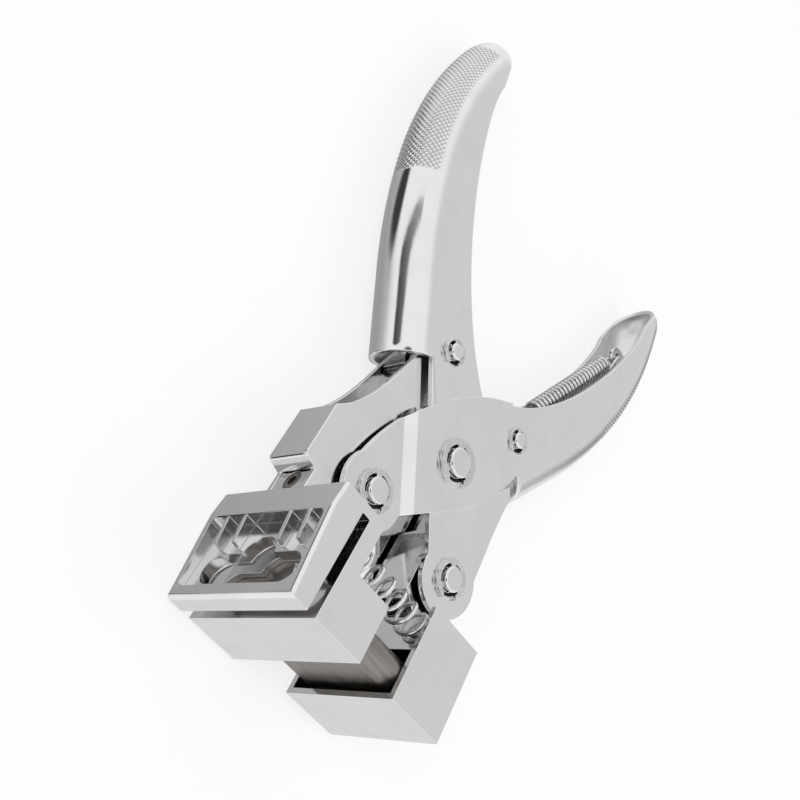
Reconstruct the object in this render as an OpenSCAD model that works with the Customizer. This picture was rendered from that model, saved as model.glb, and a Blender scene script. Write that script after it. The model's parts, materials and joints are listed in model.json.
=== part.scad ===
// Hole punch pliers: two pressed levers cross on one pivot and carry two jaws
// that stay parallel. The upper jaw holds a slotted die block, the lower jaw a
// hat-shaped punch that cuts a hanging hole in the edge of a bag or a card.
// Millimetres. +X runs along the pliers to the handles, +Y from the punch to
// the die, +Z along the pivot pins. The origin is the middle of the die slot.

/* [Linkage] */
// Distance from the main pivot to each of the four jaw pins
link_r = 28; // [26:0.5:31]
// Angle of each lever to the centre line when the pliers are open
open_angle = 35; // [34:0.5:37]
// Turn of each lever when the handles are squeezed shut
squeeze_angle = 12; // [8:0.5:12]
// Distance from the jaw pins to the punch, along the pliers
jaw_reach = 28.36; // [28:0.02:34]
// Height of the middle of the die slot above the main pivot
slot_y = 22.6; // [21.5:0.1:24]

/* [Sheet metal] */
// Thickness of the pressed steel
sheet_t = 1.5; // [1.2:0.1:1.8]
// Clear width between the two plates of a jaw frame
frame_inner_w = 9.2; // [8:0.1:10]
// Gap between plates that slide over each other
plate_gap = 0.15; // [0.1:0.05:0.3]
// Gap between a jaw frame and the levers beside it
lever_gap = 1.2; // [1:0.1:1.6]

/* [Hat-shaped hole] */
// Width of the hole
hole_w = 30; // [26:0.5:31]
// Height of the brim of the hat
brim_h = 7.6; // [6:0.2:8]
// Height of the whole hole
hole_h = 12; // [10:0.2:12.6]
// Radius of the crown of the hat
crown_r = 5; // [4:0.2:6]
// Gap all round between the punch and its guide
punch_gap = 0.1; // [0.05:0.05:0.2]

/* [Die block] */
// Width of the die block, along the pivot pins
block_w = 39.8; // [38:0.2:44]
// Distance from the punch axis to the free end of the die block
block_front = 10.2; // [9.6:0.1:12]
// Distance from the punch axis to the end of the die block at the frame
block_rear = 16.9; // [16:0.1:18]
// Opening of the slot that takes the bag or card
slot_h = 2.5; // [1.5:0.1:3]
// Wall behind the closed end of the slot
slot_wall = 2.4; // [2:0.1:4]
// Thickness of the front plate at the free end
front_t_end = 5.3; // [5:0.1:6]
// Thickness of the front plate at the top of the window
front_t_mid = 7.5; // [7:0.1:8]
// Thickness of the front plate at the frame
front_t_rear = 7.1; // [6.5:0.1:7.5]
// Distance from the punch axis to the top of the window
window_rear = 9.8; // [8.5:0.1:10.5]
// Border between the window and the free end
window_border = 2.6; // [2:0.1:3]
// Border between the window and the sides
window_side = 2; // [1.5:0.1:3]
// Depth of the punch guide behind the slot
guide_h = 15.4; // [13:0.1:16]
// Thickness of the shelf that the jaw springs push on
shelf_t = 4.3; // [3:0.1:5]
// Thickness of the hardened die plate in the window
die_plate_t = 3; // [2.5:0.1:3.4]
// Lip under the die plate
die_lip = 1; // [0.8:0.1:1.4]
// Thickness of the ribs in the window
rib_t = 1.1; // [0.8:0.1:1.5]
// Length of the ribs in the window
rib_l = 7; // [5:0.2:7.4]

/* [Punch holder] */
// Width of the punch holder, along the pivot pins
holder_w = 33.6; // [33:0.2:38]
// Wall of the punch holder
holder_wall = 1.5; // [1.2:0.1:1.8]
// Depth of the punch holder
holder_h = 17.8; // [16:0.2:20]
// Open gap between the die block and the punch holder at rest
jaw_gap = 15; // [13.5:0.1:17]
// Slit between the punch and the end wall of its holder
holder_slit = 1.4; // [0.8:0.1:2]
// Distance from the punch axis to the end of the holder at the frame
holder_rear = 15.2; // [14.6:0.1:16]
// Depth of the spring seat below the rim of the holder
seat_depth = 4; // [2:0.2:6]
// Distance from the tip of the open punch to the slot
punch_rest = 1.7; // [1:0.1:2.5]

/* [Levers] */
// Radius of the round end of a lever
arm_r = 9.6; // [8.5:0.1:9.8]
// Distance from the main pivot to the mouth of a grip
mouth_s = 26; // [24:0.5:28]
// Height of the grip's back above the lever line at its mouth
grip_back_h = 16.9; // [16.4:0.1:17.6]
// Lean of the grip towards the lever line
grip_lean = 4.5; // [2:0.5:7]
// Straight length of a grip
grip_straight = 23.6; // [20:0.2:27]
// Radius of the long bend of a grip
grip_bend_r = 135.5; // [120:0.5:150]
// Turn of the long bend
grip_bend = 15; // [12:0.5:18]
// Radius of the bend at the tip
tip_bend_r = 97; // [88:1:106]
// Turn of the bend at the tip
tip_bend = 26.5; // [22:0.5:30]
// Outer corner radius of the grip's channel
grip_corner = 5.4; // [4:0.2:5.4]
// Depth of the grip's sides at its tip
tip_depth = 12.3; // [11:0.1:13.4]
// Rise of the grip's inner edge towards the end of its nose
nose_rise = 24; // [16:1:25]
// Length of the first slope of the bridge over the other lever
bridge_ramp = 2.8; // [2:0.1:3.2]

/* [Pins] */
// Diameter of the main pivot pin
main_pin_d = 7.6; // [6:0.1:8]
// Diameter of the pins that carry the jaws
jaw_pin_d = 6.4; // [5:0.1:7]
// Diameter of the pins that slide in the jaw frames
slide_pin_d = 4.4; // [3.6:0.1:5]
// Radial clearance of a pin in its hole
pin_fit = 0.05; // [0.02:0.01:0.1]
// Thickness of a retaining clip
clip_t = 1; // [0.8:0.1:1.2]
// Outer diameter of the sleeve on the main pivot pin
sleeve_d = 10.6; // [10:0.1:11]

/* [Springs] */
// Outer diameter of a jaw spring
jaw_spring_d = 8; // [7:0.1:8.2]
// Wire of a jaw spring
jaw_wire = 1.1; // [0.8:0.1:1.3]
// Turns of a jaw spring
jaw_turns = 8; // [6:1:9]
// Distance of each jaw spring from the middle plane
jaw_spring_z = 11; // [10.8:0.1:11.2]
// Outer diameter of the handle spring
handle_spring_d = 6.4; // [5:0.1:7]
// Wire of the handle spring
handle_wire = 0.9; // [0.7:0.05:1]
// Turns of the handle spring
handle_turns = 30; // [24:1:32]

/* [Hidden] */
$fn = 64;

chrome = [0.86, 0.87, 0.88];
steel = [0.62, 0.60, 0.58];
eps = 0.01;
far = 200;

// Each length of a grip is a hair thicker than the one that it laps over
lap = 0.5;
hair = 0.02;

// Linkage, seen from the main pivot
pin_x = link_r * cos(open_angle);
pin_y = link_r * sin(open_angle);
punch_reach = jaw_reach + pin_x;
shut_angle = open_angle - squeeze_angle;
slide_travel = 2 * link_r * (cos(shut_angle) - cos(open_angle));
jaw_travel = 2 * link_r * (sin(open_angle) - sin(shut_angle));

// Levels of the plates, measured from the middle plane to their inner faces
frame_z = frame_inner_w / 2;
lever_z = frame_z + sheet_t + lever_gap;
bridge_z = lever_z + sheet_t + plate_gap;
lever_out = lever_z + sheet_t;
grip_out = lever_out + 2 * hair;
bridge_out = bridge_z + sheet_t;

// Die block and punch guide, seen from the main pivot
punch_x = -punch_reach;
hole_x0 = punch_x - hole_h / 2;
hole_x1 = hole_x0 + hole_h;
brim_mid_x = hole_x0 + brim_h / 2;
block_x0 = punch_x - block_front;
block_x1 = punch_x + block_rear;
slot_top = slot_y + slot_h / 2;
slot_bottom = slot_y - slot_h / 2;
slot_end = block_x1 - slot_wall;
guide_bottom = slot_bottom - guide_h;
shelf_y = slot_bottom - shelf_t;
window_x0 = block_x0 + window_border;
window_x1 = punch_x + window_rear;
window_half = block_w / 2 - window_side;
ridge_x = window_x1 + 0.8;
tray_y = slot_top + die_lip + die_plate_t;
guide_wall = 1.6;
guide_x1 = hole_x0 + brim_h + 2.2;
crown_guide_w = 2 * (crown_r + guide_wall);
rib_shares = [-0.73, -0.4, 0.4, 0.73];
rib_top = [2.3, 3.1];
rib_slope = 0.5;

// Punch holder and springs' seats
holder_top = guide_bottom - jaw_gap;
holder_bottom = holder_top - holder_h;
holder_x0 = hole_x0 - holder_slit - holder_wall;
holder_x1 = punch_x + holder_rear;
holder_floor = holder_bottom + holder_wall;
seat_x0 = hole_x1 + 0.3;
seat_y = holder_top - seat_depth;
punch_tip = slot_bottom - punch_rest;
jaw_spring_inset = 0.2;
jaw_spring_x = holder_x1 - jaw_spring_d / 2 - jaw_spring_inset;
peg_h = 2.5;
peg_gap = 0.4;
peg_d = jaw_spring_d - 2 * (jaw_wire + peg_gap);

// Screws
screw_d = 3;
screw_head_d = 4.6;
screw_head_h = 2;
socket_d = 2.6;
socket_depth = 1.2;
thread_play = 0.1;
screw_play = 0.2;
head_play = 0.3;
punch_screw_z = 8.5;
punch_screw_l = 8;
punch_screw_head = 0.9;
punch_screw_slot_w = 0.8;
punch_screw_slot_h = 0.5;

// Tongues of the die block and the punch holder, and the ties that they are screwed to
seat_fit = 0.05;
tongue_w = frame_inner_w - 2 * seat_fit;
tongue_l = 9;
tongue_t = 6;
die_tongue_drop = 0.6;
die_tongue_top = slot_top + front_t_rear - die_tongue_drop;
die_tongue_y = die_tongue_top - tongue_t;
holder_tongue_lift = 2.2;
holder_tongue_y = holder_bottom + holder_tongue_lift;
tie_t = 3.6;
tie_l = 5.4;
screw_in_tie = 2.5;
die_tie_x = block_x1 + 0.4;
holder_tie_x = holder_x1 + 1.8;
die_screw_x = die_tie_x + screw_in_tie;
holder_screw_x = holder_tie_x + screw_in_tie;
fixing_screw_l = tongue_t - screw_head_h + tie_t - 0.6;

// Jaw frames
frame_top = slot_top + front_t_mid + 3.4;
upper_web_x = block_x1 + 6.2;
upper_web_l = 15;
front_wall_gap = 0.3;
upper_web_end = upper_web_x + upper_web_l;
saddle_run = 5;
saddle_drop = 6;
saddle_reach = 20;
saddle_h = 9.5;
neck_reach = 9;
neck_h = 7.4;
tail_r = slide_pin_d / 2 + 2;
tail_half = tail_r - 0.8;
tail_end = pin_x + slide_travel;
frame_boss_r = jaw_pin_d / 2 + 5.2;
frame_clear = sleeve_d / 2 + jaw_travel / 2 + 0.6;
lower_web_y = -frame_clear + 3.2;
lower_web_x = holder_x1 + 4.2;
lower_web_end = -pin_x + 8;
post_d = 2.4;
post_r = post_d / 2 + 1.8;
post_half = post_r - 0.6;
post_reach = 9;
post_at = [tail_end, -pin_y] + post_reach * ahead_of(-open_angle);

// Pins and clips
pin_head_h = 1.4;
pin_head_rim = 1.4;
pin_end_h = 0.9;
pin_chamfer = 0.4;
groove_share = 0.76;
clip_share = 0.82;
clip_window = 0.7;
clip_prong_share = 0.26;
clip_mouth_share = 0.9;
clip_play = 0.02;
clip_turn = -65;
sleeve_play = 0.05;

// Levers, in their own frame: s along the lever from the pivot, n towards its back
inner_0 = [19.2, -11.9];
lower_inner_0 = [28, -10];
inner_a = [53.6, 0.7];
inner_end_run = 6;
inner_end_pull = 10;
inner_1 = grip_tip() - tip_depth * left_of(tip_heading()) - inner_end_run * ahead_of(tip_heading());
inner_b = inner_1 - inner_end_pull * ahead_of(tip_heading());
grip_depth = 29;
inner_beyond = 40;
plate_end = 44;
arm_waist = 7.5;

// Bridge of the lower lever: its slopes, and the control points of its front and back edges
bridge_start = -15.6;
bridge_start_lean = 22;
bridge_end_ramp = 1.4;
bridge_end_lean = 32;
clip_room = 0.42;
bridge_end = link_r - (clip_share * slide_pin_d + clip_room + bridge_end_ramp) / cos(bridge_end_lean);
bridge_front = [15, 10.3];
bridge_front_a = [-10, 9];
bridge_front_b = [4, 14.5];
bridge_back_a = [-14, -16];
bridge_back_b = [8, -18.5];

// Stop tab of the upper lever, which rests beside the lower lever's mouth when open
stop_gap = 0.6;
stop_room = 0.7;
stop_n = bridge_front.y + stop_gap;
stop_corner = [bridge_end - stop_n * tan(bridge_end_lean) - stop_room, stop_n];
stop_tip = [[mouth_s - 4.5, stop_n], [mouth_s - 5.7, stop_n + 3.5], [mouth_s - 7.9, stop_n + 4.5]];
stop_foot = [11.7, 19.9];
lug_at = [102, -13.6];
lug_r = 3;
lug_off = lug_at - tip_centre();
lug_l = tip_bend_r - sheet_t / 2 - norm(lug_off);
lug_heading = atan2(lug_off.y, lug_off.x) - 90;
lug_hole_d = 2.2;

// Springs
curl_rings = 8;
wire_sides = 6;
jaw_spring_l = shelf_y - seat_y;
jaw_coil_r = (jaw_spring_d - jaw_wire) / 2;
jaw_end_pitch = jaw_wire + 0.5;
jaw_mid_pitch = (jaw_spring_l - jaw_wire - 2 * jaw_end_pitch) / (jaw_turns - 2);
lug_point = [lug_at.x * cos(open_angle) - lug_at.y * sin(open_angle),
             -lug_at.x * sin(open_angle) - lug_at.y * cos(open_angle)];
handle_spring_span = norm(lug_point - post_at);
handle_coil_r = (handle_spring_d - handle_wire) / 2;
handle_pitch = handle_wire + 0.55;
handle_body_l = handle_turns * handle_pitch;
handle_body_x = (handle_spring_span - handle_body_l) / 2;
post_hook_r = (post_d + handle_wire) / 2 + 0.25;
lug_hook_x = handle_spring_span - (lug_hole_d - handle_wire) / 2 + 0.05;
lug_hook_l = 2.4;
lug_hook_w = (sheet_t + handle_wire) / 2 + 1.1;
hook_steps = 6;

function ahead_of(h) = [cos(h), sin(h)];
function left_of(h) = [-sin(h), cos(h)];
function bend_heading() = -grip_lean - grip_bend;
function tip_heading() = bend_heading() - tip_bend;
function grip_start() = [mouth_s, grip_back_h];
function bend_start() = grip_start() + grip_straight * ahead_of(-grip_lean);
function bend_centre() = bend_start() - grip_bend_r * left_of(-grip_lean);
function tip_start() = bend_centre() + grip_bend_r * left_of(bend_heading());
function tip_centre() = tip_start() - tip_bend_r * left_of(bend_heading());
function grip_tip() = tip_centre() + tip_bend_r * left_of(tip_heading());

// Point of a cubic curve, and the curve as a list of points
function cubic(p, t) = pow(1 - t, 3) * p[0] + 3 * t * pow(1 - t, 2) * p[1]
                     + 3 * t * t * (1 - t) * p[2] + pow(t, 3) * p[3];
function curve(p, steps) = [for (i = [0 : steps]) cubic(p, i / steps)];
// A point of the lower lever's frame, as the upper lever's frame sees it when open
function across(p) = [p.x * cos(2 * open_angle) - p.y * sin(2 * open_angle),
                      -p.x * sin(2 * open_angle) - p.y * cos(2 * open_angle)];
function reversed(list) = [for (i = [len(list) - 1 : -1 : 0]) list[i]];
function grip_inner(start) = curve([start, inner_a, inner_b, inner_1], 20);

// Frames that the pieces are drawn in
module in_tool_frame() translate([punch_reach, -slot_y, 0]) children();
module on_upper_lever() rotate(open_angle) children();
module on_lower_lever() mirror([0, 1, 0]) rotate(open_angle) children();
module both_sides() for (side = [0, 1]) mirror([0, 0, side]) children();
module plate(z) translate([0, 0, z]) linear_extrude(sheet_t) children();
module along_y(y, h) translate([0, y, 0]) rotate([-90, 0, 0]) linear_extrude(h) children();

// Outline of the hat-shaped hole, grown by a gap; x along the pliers, y across
module hat(gap) {
    brim_r = brim_h / 2;
    brim_end = hole_w / 2 - brim_r;
    crown_x = hole_x0 + hole_h - crown_r;
    translate([hole_x0 - gap, -brim_end]) square([brim_h + 2 * gap, 2 * brim_end]);
    for (side = [-1, 1]) translate([hole_x0 + brim_r, side * brim_end]) circle(brim_r + gap);
    translate([crown_x, 0]) circle(crown_r + gap);
    translate([hole_x0 + brim_r, -crown_r - gap]) square([crown_x - hole_x0 - brim_r, 2 * (crown_r + gap)]);
}

// Die block: front plate, slot, punch guide, spring shelf and fixing tongue
module die_block_side() polygon([
    [block_x0, slot_top + front_t_end], [ridge_x, slot_top + front_t_mid],
    [block_x1, slot_top + front_t_rear], [block_x1, shelf_y], [guide_x1, shelf_y],
    [guide_x1, guide_bottom], [block_x0, guide_bottom], [block_x0, slot_bottom],
    [slot_end, slot_bottom], [slot_end, slot_top], [block_x0, slot_top]]);

module window_ribs() {
    for (share = rib_shares) translate([window_x1 - rib_l, tray_y, share * window_half - rib_t / 2])
        linear_extrude(rib_t)
            polygon([[0, 0], [rib_l + eps, 0], [rib_l + eps, rib_top[1]], [rib_slope, rib_top[0]]]);
}

module die_block() color(chrome) in_tool_frame() {
    difference() {
        union() {
            translate([0, 0, -block_w / 2]) linear_extrude(block_w) die_block_side();
            translate([guide_x1 - eps, guide_bottom, -crown_guide_w / 2])
                cube([hole_x1 + guide_wall - guide_x1, shelf_y + eps - guide_bottom, crown_guide_w]);
            translate([block_x1 - eps, die_tongue_y, -tongue_w / 2]) cube([tongue_l, tongue_t, tongue_w]);
        }
        translate([window_x0, slot_top + die_lip, -window_half])
            cube([window_x1 - window_x0, far, 2 * window_half]);
        along_y(guide_bottom - 1, far) hat(punch_gap);
        translate([die_screw_x, die_tongue_y, 0]) rotate([-90, 0, 0]) fixing_hole();
    }
    window_ribs();
    spring_pegs(shelf_y, 90);
}

// Pegs that keep the jaw springs in place
module spring_pegs(y, turn) {
    for (side = [-1, 1]) translate([jaw_spring_x, y, side * jaw_spring_z]) rotate([turn, 0, 0])
        translate([0, 0, -eps]) cylinder(d = peg_d, h = peg_h);
}

module die_plate() color(steel) in_tool_frame() difference() {
    half = window_half - seat_fit;
    translate([window_x0 + seat_fit, slot_top + die_lip, -half])
        cube([window_x1 - window_x0 - 2 * seat_fit, die_plate_t, 2 * half]);
    along_y(slot_top, far) hat(punch_gap);
}

// Socket screw, its head on the +Z side of the origin
module screw(length) difference() {
    union() {
        translate([0, 0, -length]) cylinder(d = screw_d, h = length + eps);
        cylinder(d = screw_head_d, h = screw_head_h);
    }
    translate([0, 0, screw_head_h - socket_depth]) cylinder(d = socket_d, h = far, $fn = 6);
}

// Hole through a tongue, with the recess for the screw's head at its far side
module fixing_hole() {
    translate([0, 0, -1]) cylinder(d = screw_d + screw_play, h = far);
    translate([0, 0, tongue_t - screw_head_h]) cylinder(d = screw_head_d + head_play, h = far);
}

// Block that ties the two plates of a jaw frame together under a tongue
module tie(x, y, hole_x) difference() {
    translate([x, y, -frame_z - eps]) cube([tie_l, tie_t, frame_inner_w + 2 * eps]);
    translate([hole_x, y - 1, 0]) rotate([-90, 0, 0]) cylinder(d = screw_d + thread_play, h = tie_t + 2);
}

module die_screw() color(steel) in_tool_frame()
    translate([die_screw_x, die_tongue_top - screw_head_h, 0]) rotate([-90, 0, 0]) screw(fixing_screw_l);

// Side plate of a jaw frame's tail, with the slot for its sliding pin
module tail_slot() {
    for (x = [0, slide_travel]) translate([pin_x + x, pin_y]) circle(d = slide_pin_d + 2 * pin_fit);
    translate([pin_x, pin_y - slide_pin_d / 2 - pin_fit]) square([slide_travel, slide_pin_d + 2 * pin_fit]);
}

module upper_frame_side() difference() {
    union() {
        translate([-pin_x, pin_y]) circle(frame_boss_r);
        polygon(concat(
            [[block_x1, shelf_y], [block_x1, slot_top + front_t_rear], [upper_web_x, frame_top]],
            curve([[upper_web_end, frame_top], [upper_web_end + saddle_run, frame_top - saddle_drop],
                   [pin_x - saddle_reach, pin_y + saddle_h], [pin_x - neck_reach, pin_y + neck_h]], 10),
            [[tail_end, pin_y + tail_half], [tail_end, pin_y - tail_half], [pin_x - 13, frame_clear],
             [-pin_x + 12, frame_clear], [-pin_x, pin_y - frame_boss_r]]));
        translate([tail_end, pin_y]) circle(tail_r);
    }
    translate([-pin_x, pin_y]) circle(d = jaw_pin_d + 2 * pin_fit);
    tail_slot();
}

module upper_frame() color(chrome) in_tool_frame() {
    both_sides() plate(frame_z) upper_frame_side();
    translate([upper_web_x, frame_top - sheet_t, -frame_z - eps])
        cube([upper_web_l, sheet_t, frame_inner_w + 2 * eps]);
    translate([upper_web_x, die_tongue_top + front_wall_gap, -frame_z - eps])
        cube([sheet_t, frame_top - die_tongue_top - front_wall_gap, frame_inner_w + 2 * eps]);
    tie(die_tie_x, die_tongue_y - tie_t, die_screw_x);
}

// Punch holder: end wall, side walls and floor, with a seat for the springs
module punch_holder() color(chrome) in_tool_frame() {
    difference() {
        union() {
            translate([holder_x0, holder_bottom, -holder_w / 2])
                cube([holder_x1 - holder_x0, holder_h, holder_w]);
            translate([holder_x1 - eps, holder_tongue_y, -tongue_w / 2])
                cube([tongue_l, tongue_t, tongue_w]);
        }
        translate([holder_x0 + holder_wall, holder_floor, -holder_w / 2 + holder_wall])
            cube([seat_x0 - holder_x0 - holder_wall, far, holder_w - 2 * holder_wall]);
        translate([seat_x0 - eps, seat_y, -holder_w / 2 + holder_wall])
            cube([far, far, holder_w - 2 * holder_wall]);
        at_punch_screws(holder_bottom - 1) {
            cylinder(d = screw_head_d + head_play, h = 1 + punch_screw_head);
            cylinder(d = screw_d + screw_play, h = far);
        }
        translate([holder_screw_x, holder_tongue_y + tongue_t, 0]) rotate([90, 0, 0]) fixing_hole();
    }
    spring_pegs(seat_y, -90);
}

// Places of the two screws that hold the punch from behind
module at_punch_screws(y)
    for (side = [-1, 1]) translate([brim_mid_x, y, side * punch_screw_z]) rotate([-90, 0, 0]) children();

module punch() color(steel) in_tool_frame() difference() {
    along_y(holder_floor, punch_tip - holder_floor) hat(0);
    at_punch_screws(holder_bottom) cylinder(d = screw_d + thread_play, h = punch_screw_l + holder_wall);
}

module punch_screws() color(steel) in_tool_frame() at_punch_screws(holder_bottom) difference() {
    union() {
        cylinder(d = screw_head_d, h = punch_screw_head);
        cylinder(d = screw_d, h = punch_screw_l);
    }
    translate([-screw_head_d, -punch_screw_slot_w / 2, -1])
        cube([2 * screw_head_d, punch_screw_slot_w, 1 + punch_screw_slot_h]);
}

module lower_frame_side() difference() {
    union() {
        translate([-pin_x, -pin_y]) circle(frame_boss_r);
        polygon([[holder_x1, holder_bottom + 1.6], [holder_x1, seat_y - 0.6],
                 [lower_web_x - 1, lower_web_y - 2], [lower_web_x, lower_web_y],
                 [lower_web_end, lower_web_y], [-pin_x + 12, -frame_clear], [pin_x - 13, -frame_clear],
                 [tail_end, -pin_y + tail_half], [tail_end, -pin_y - tail_half],
                 [pin_x - 8, -pin_y - tail_r - 2], [-pin_x, -pin_y - frame_boss_r]]);
        translate([tail_end, -pin_y]) circle(tail_r);
        translate(post_at) circle(post_r);
        translate([tail_end, -pin_y]) rotate(-open_angle)
            polygon([[0, -tail_half], [post_reach, -post_half], [post_reach, post_half], [0, tail_half]]);
    }
    translate([-pin_x, -pin_y]) circle(d = jaw_pin_d + 2 * pin_fit);
    mirror([0, 1, 0]) tail_slot();
    translate(post_at) circle(d = post_d);
}

module lower_frame() color(chrome) in_tool_frame() {
    both_sides() plate(frame_z) lower_frame_side();
    translate([lower_web_x, lower_web_y - sheet_t, -frame_z - eps])
        cube([lower_web_end - lower_web_x, sheet_t, frame_inner_w + 2 * eps]);
    tie(holder_tie_x, holder_tongue_y + tongue_t, holder_screw_x);
}

module holder_screw() color(steel) in_tool_frame()
    translate([holder_screw_x, holder_tongue_y + screw_head_h, 0]) rotate([90, 0, 0]) screw(fixing_screw_l);

module spring_post() color(steel) in_tool_frame() translate([post_at.x, post_at.y, -frame_z - sheet_t])
    cylinder(d = post_d, h = frame_inner_w + 2 * sheet_t);

// Grip: a channel of pressed sheet, straight, bent twice and closed by a round nose
module channel_2d(grow) difference() {
    channel_outline(lever_out + grow, -grow, grip_corner + grow);
    channel_outline(lever_z - grow, sheet_t + grow, grip_corner - sheet_t - grow);
}

module channel_outline(half, back, r) {
    translate([-grip_depth - back, -half]) square([grip_depth - r, 2 * half]);
    translate([-back - r - eps, -half + r]) square([r + eps, 2 * (half - r)]);
    for (side = [-1, 1]) translate([-back - r, side * (half - r)]) circle(r);
}

module channel_half_2d(grow) intersection() {
    rotate(90) channel_2d(grow);
    translate([0, -far / 2]) square([far, far]);
}

module grip_bend_piece(centre, r, heading, turn, grow)
    translate([centre.x, centre.y, 0]) rotate(heading + 90)
        rotate_extrude(angle = turn, $fn = 128) translate([r, 0]) channel_2d(grow);

module grip(start) intersection() {
    bend_lap = 180 * lap / (PI * grip_bend_r);
    union() {
        translate([mouth_s, grip_back_h, 0]) rotate(-grip_lean) rotate([90, 0, 90])
            linear_extrude(grip_straight) channel_2d(hair);
        grip_bend_piece(bend_centre(), grip_bend_r, bend_heading() - bend_lap,
                        grip_bend + 2 * bend_lap, 2 * hair);
        grip_bend_piece(tip_centre(), tip_bend_r, tip_heading(), tip_bend, hair);
        translate([grip_tip().x, grip_tip().y, 0]) rotate(tip_heading()) translate([-lap, 0, 0])
            rotate([-90, 0, 0]) rotate(-90) rotate_extrude(angle = 180) channel_half_2d(2 * hair);
    }
    translate([0, 0, -far / 2]) linear_extrude(far)
        polygon(concat(grip_inner(start),
                       [inner_1 + inner_beyond * ahead_of(tip_heading() + nose_rise)],
                       [[far, 0], [far, far], [0, far]]));
}

// Edge of a lever's plate under its grip, up to where the grip takes over
function plate_edge(start) = [for (p = grip_inner(start)) if (p.x < plate_end) p + [0, 2 * hair]];

module lever_holes() {
    circle(d = main_pin_d + 2 * pin_fit);
    translate([-link_r, 0]) circle(d = jaw_pin_d + 2 * pin_fit);
    translate([link_r, 0]) circle(d = slide_pin_d + 2 * pin_fit);
}

function stop_tab() = [for (p = concat([stop_corner], stop_tip, [stop_foot])) across(p)];

module upper_lever_side() difference() {
    edge = plate_edge(inner_0);
    union() {
        translate([-link_r, 0]) circle(arm_r);
        polygon(concat([[-link_r, arm_waist], [edge[len(edge) - 1].x, arm_waist]],
                       reversed(edge), stop_tab(), [[-link_r, -arm_r]]));
    }
    lever_holes();
}

module upper_handle() color(chrome) in_tool_frame() on_upper_lever() {
    both_sides() plate(lever_z) upper_lever_side();
    difference() {
        grip(inner_0);
        linear_extrude(far, center = true) lever_holes();
    }
}

// Lower lever: its middle is a bridge that passes outside the upper lever
module lower_lever_side() difference() {
    edge = plate_edge(lower_inner_0);
    back = curve([[-link_r, -arm_r], bridge_back_a, bridge_back_b, lower_inner_0], 12);
    front = curve([[-link_r + 6, arm_waist], bridge_front_a, bridge_front_b, bridge_front], 10);
    union() {
        translate([-link_r, 0]) circle(arm_r);
        polygon(concat([[-link_r, arm_waist]], front,
                       [[mouth_s + 1, bridge_front.y], [edge[len(edge) - 1].x, arm_waist]],
                       reversed(edge), reversed(back)));
    }
    lever_holes();
}

// Space below a surface that is low before a slanted line across the lever and high
// after it, or the other way round
module below_slope(s, lean, way, ramp, low, high)
    translate([s, 0, 0]) rotate(lean) rotate([90, 0, 0]) linear_extrude(far, center = true)
        polygon([[-way * far, -1], [way * far, -1], [way * far, high], [0, high],
                 [-way * ramp, low], [-way * far, low]]);

module below_bridge(low, high) intersection() {
    below_slope(bridge_start, bridge_start_lean, 1, bridge_ramp, low, high);
    below_slope(bridge_end, bridge_end_lean, -1, bridge_end_ramp, low, high);
}

module lower_handle() color(chrome) in_tool_frame() on_lower_lever() {
    both_sides() difference() {
        intersection() {
            linear_extrude(far) lower_lever_side();
            below_bridge(lever_out, bridge_out);
        }
        below_bridge(lever_z, bridge_z);
    }
    difference() {
        grip(lower_inner_0);
        linear_extrude(far, center = true) lever_holes();
    }
    spring_lug();
}

// Lug raised from the grip's back that the handle spring hooks into
module spring_lug() translate([0, 0, -sheet_t / 2]) linear_extrude(sheet_t) difference() {
    root = lug_at + lug_l * left_of(lug_heading);
    union() {
        translate(lug_at) circle(lug_r);
        polygon([lug_at - lug_r * ahead_of(lug_heading), lug_at + lug_r * ahead_of(lug_heading),
                 root + lug_r * ahead_of(lug_heading), root - lug_r * ahead_of(lug_heading)]);
    }
    translate(lug_at) circle(d = lug_hole_d);
}

// Pin with a flat head below, and a groove near its top for a retaining clip
module clip_pin(d, top) {
    land_h = pin_end_h - pin_chamfer;
    translate([0, 0, -top - pin_head_h]) cylinder(d = d + 2 * pin_head_rim, h = pin_head_h);
    translate([0, 0, -top - eps]) cylinder(d = d, h = 2 * top + eps);
    translate([0, 0, top - eps]) cylinder(d = groove_share * d, h = clip_t + 2 * eps);
    translate([0, 0, top + clip_t]) cylinder(d = d, h = land_h);
    translate([0, 0, top + clip_t + land_h]) cylinder(d1 = d, d2 = d - 2 * pin_chamfer, h = pin_chamfer);
}

// Three-pronged retaining clip that snaps into the groove of a pin
module retaining_clip(d, top) {
    groove_r = groove_share * d / 2;
    outer_r = clip_share * d;
    prong_w = clip_prong_share * d;
    mouth_w = 2 * clip_mouth_share * groove_r;
    prong_x = groove_r - clip_window / 2;
    translate([0, 0, top]) rotate(clip_turn) linear_extrude(clip_t) difference() {
        union() {
            difference() {
                circle(outer_r);
                circle(d / 2 + clip_window);
            }
            for (turn = [90, 210, 330]) rotate(turn)
                translate([prong_x, -prong_w / 2]) square([outer_r - prong_x - clip_window, prong_w]);
        }
        translate([-mouth_w / 2, -far]) square([mouth_w, far]);
        circle(groove_r + clip_play);
    }
}

module at_main() in_tool_frame() children();
module at_die_jaw() in_tool_frame() translate([-pin_x, pin_y, 0]) children();
module at_punch_jaw() in_tool_frame() translate([-pin_x, -pin_y, 0]) children();
module at_die_slide() in_tool_frame() translate([pin_x, pin_y, 0]) children();
module at_punch_slide() in_tool_frame() translate([pin_x, -pin_y, 0]) children();

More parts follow.
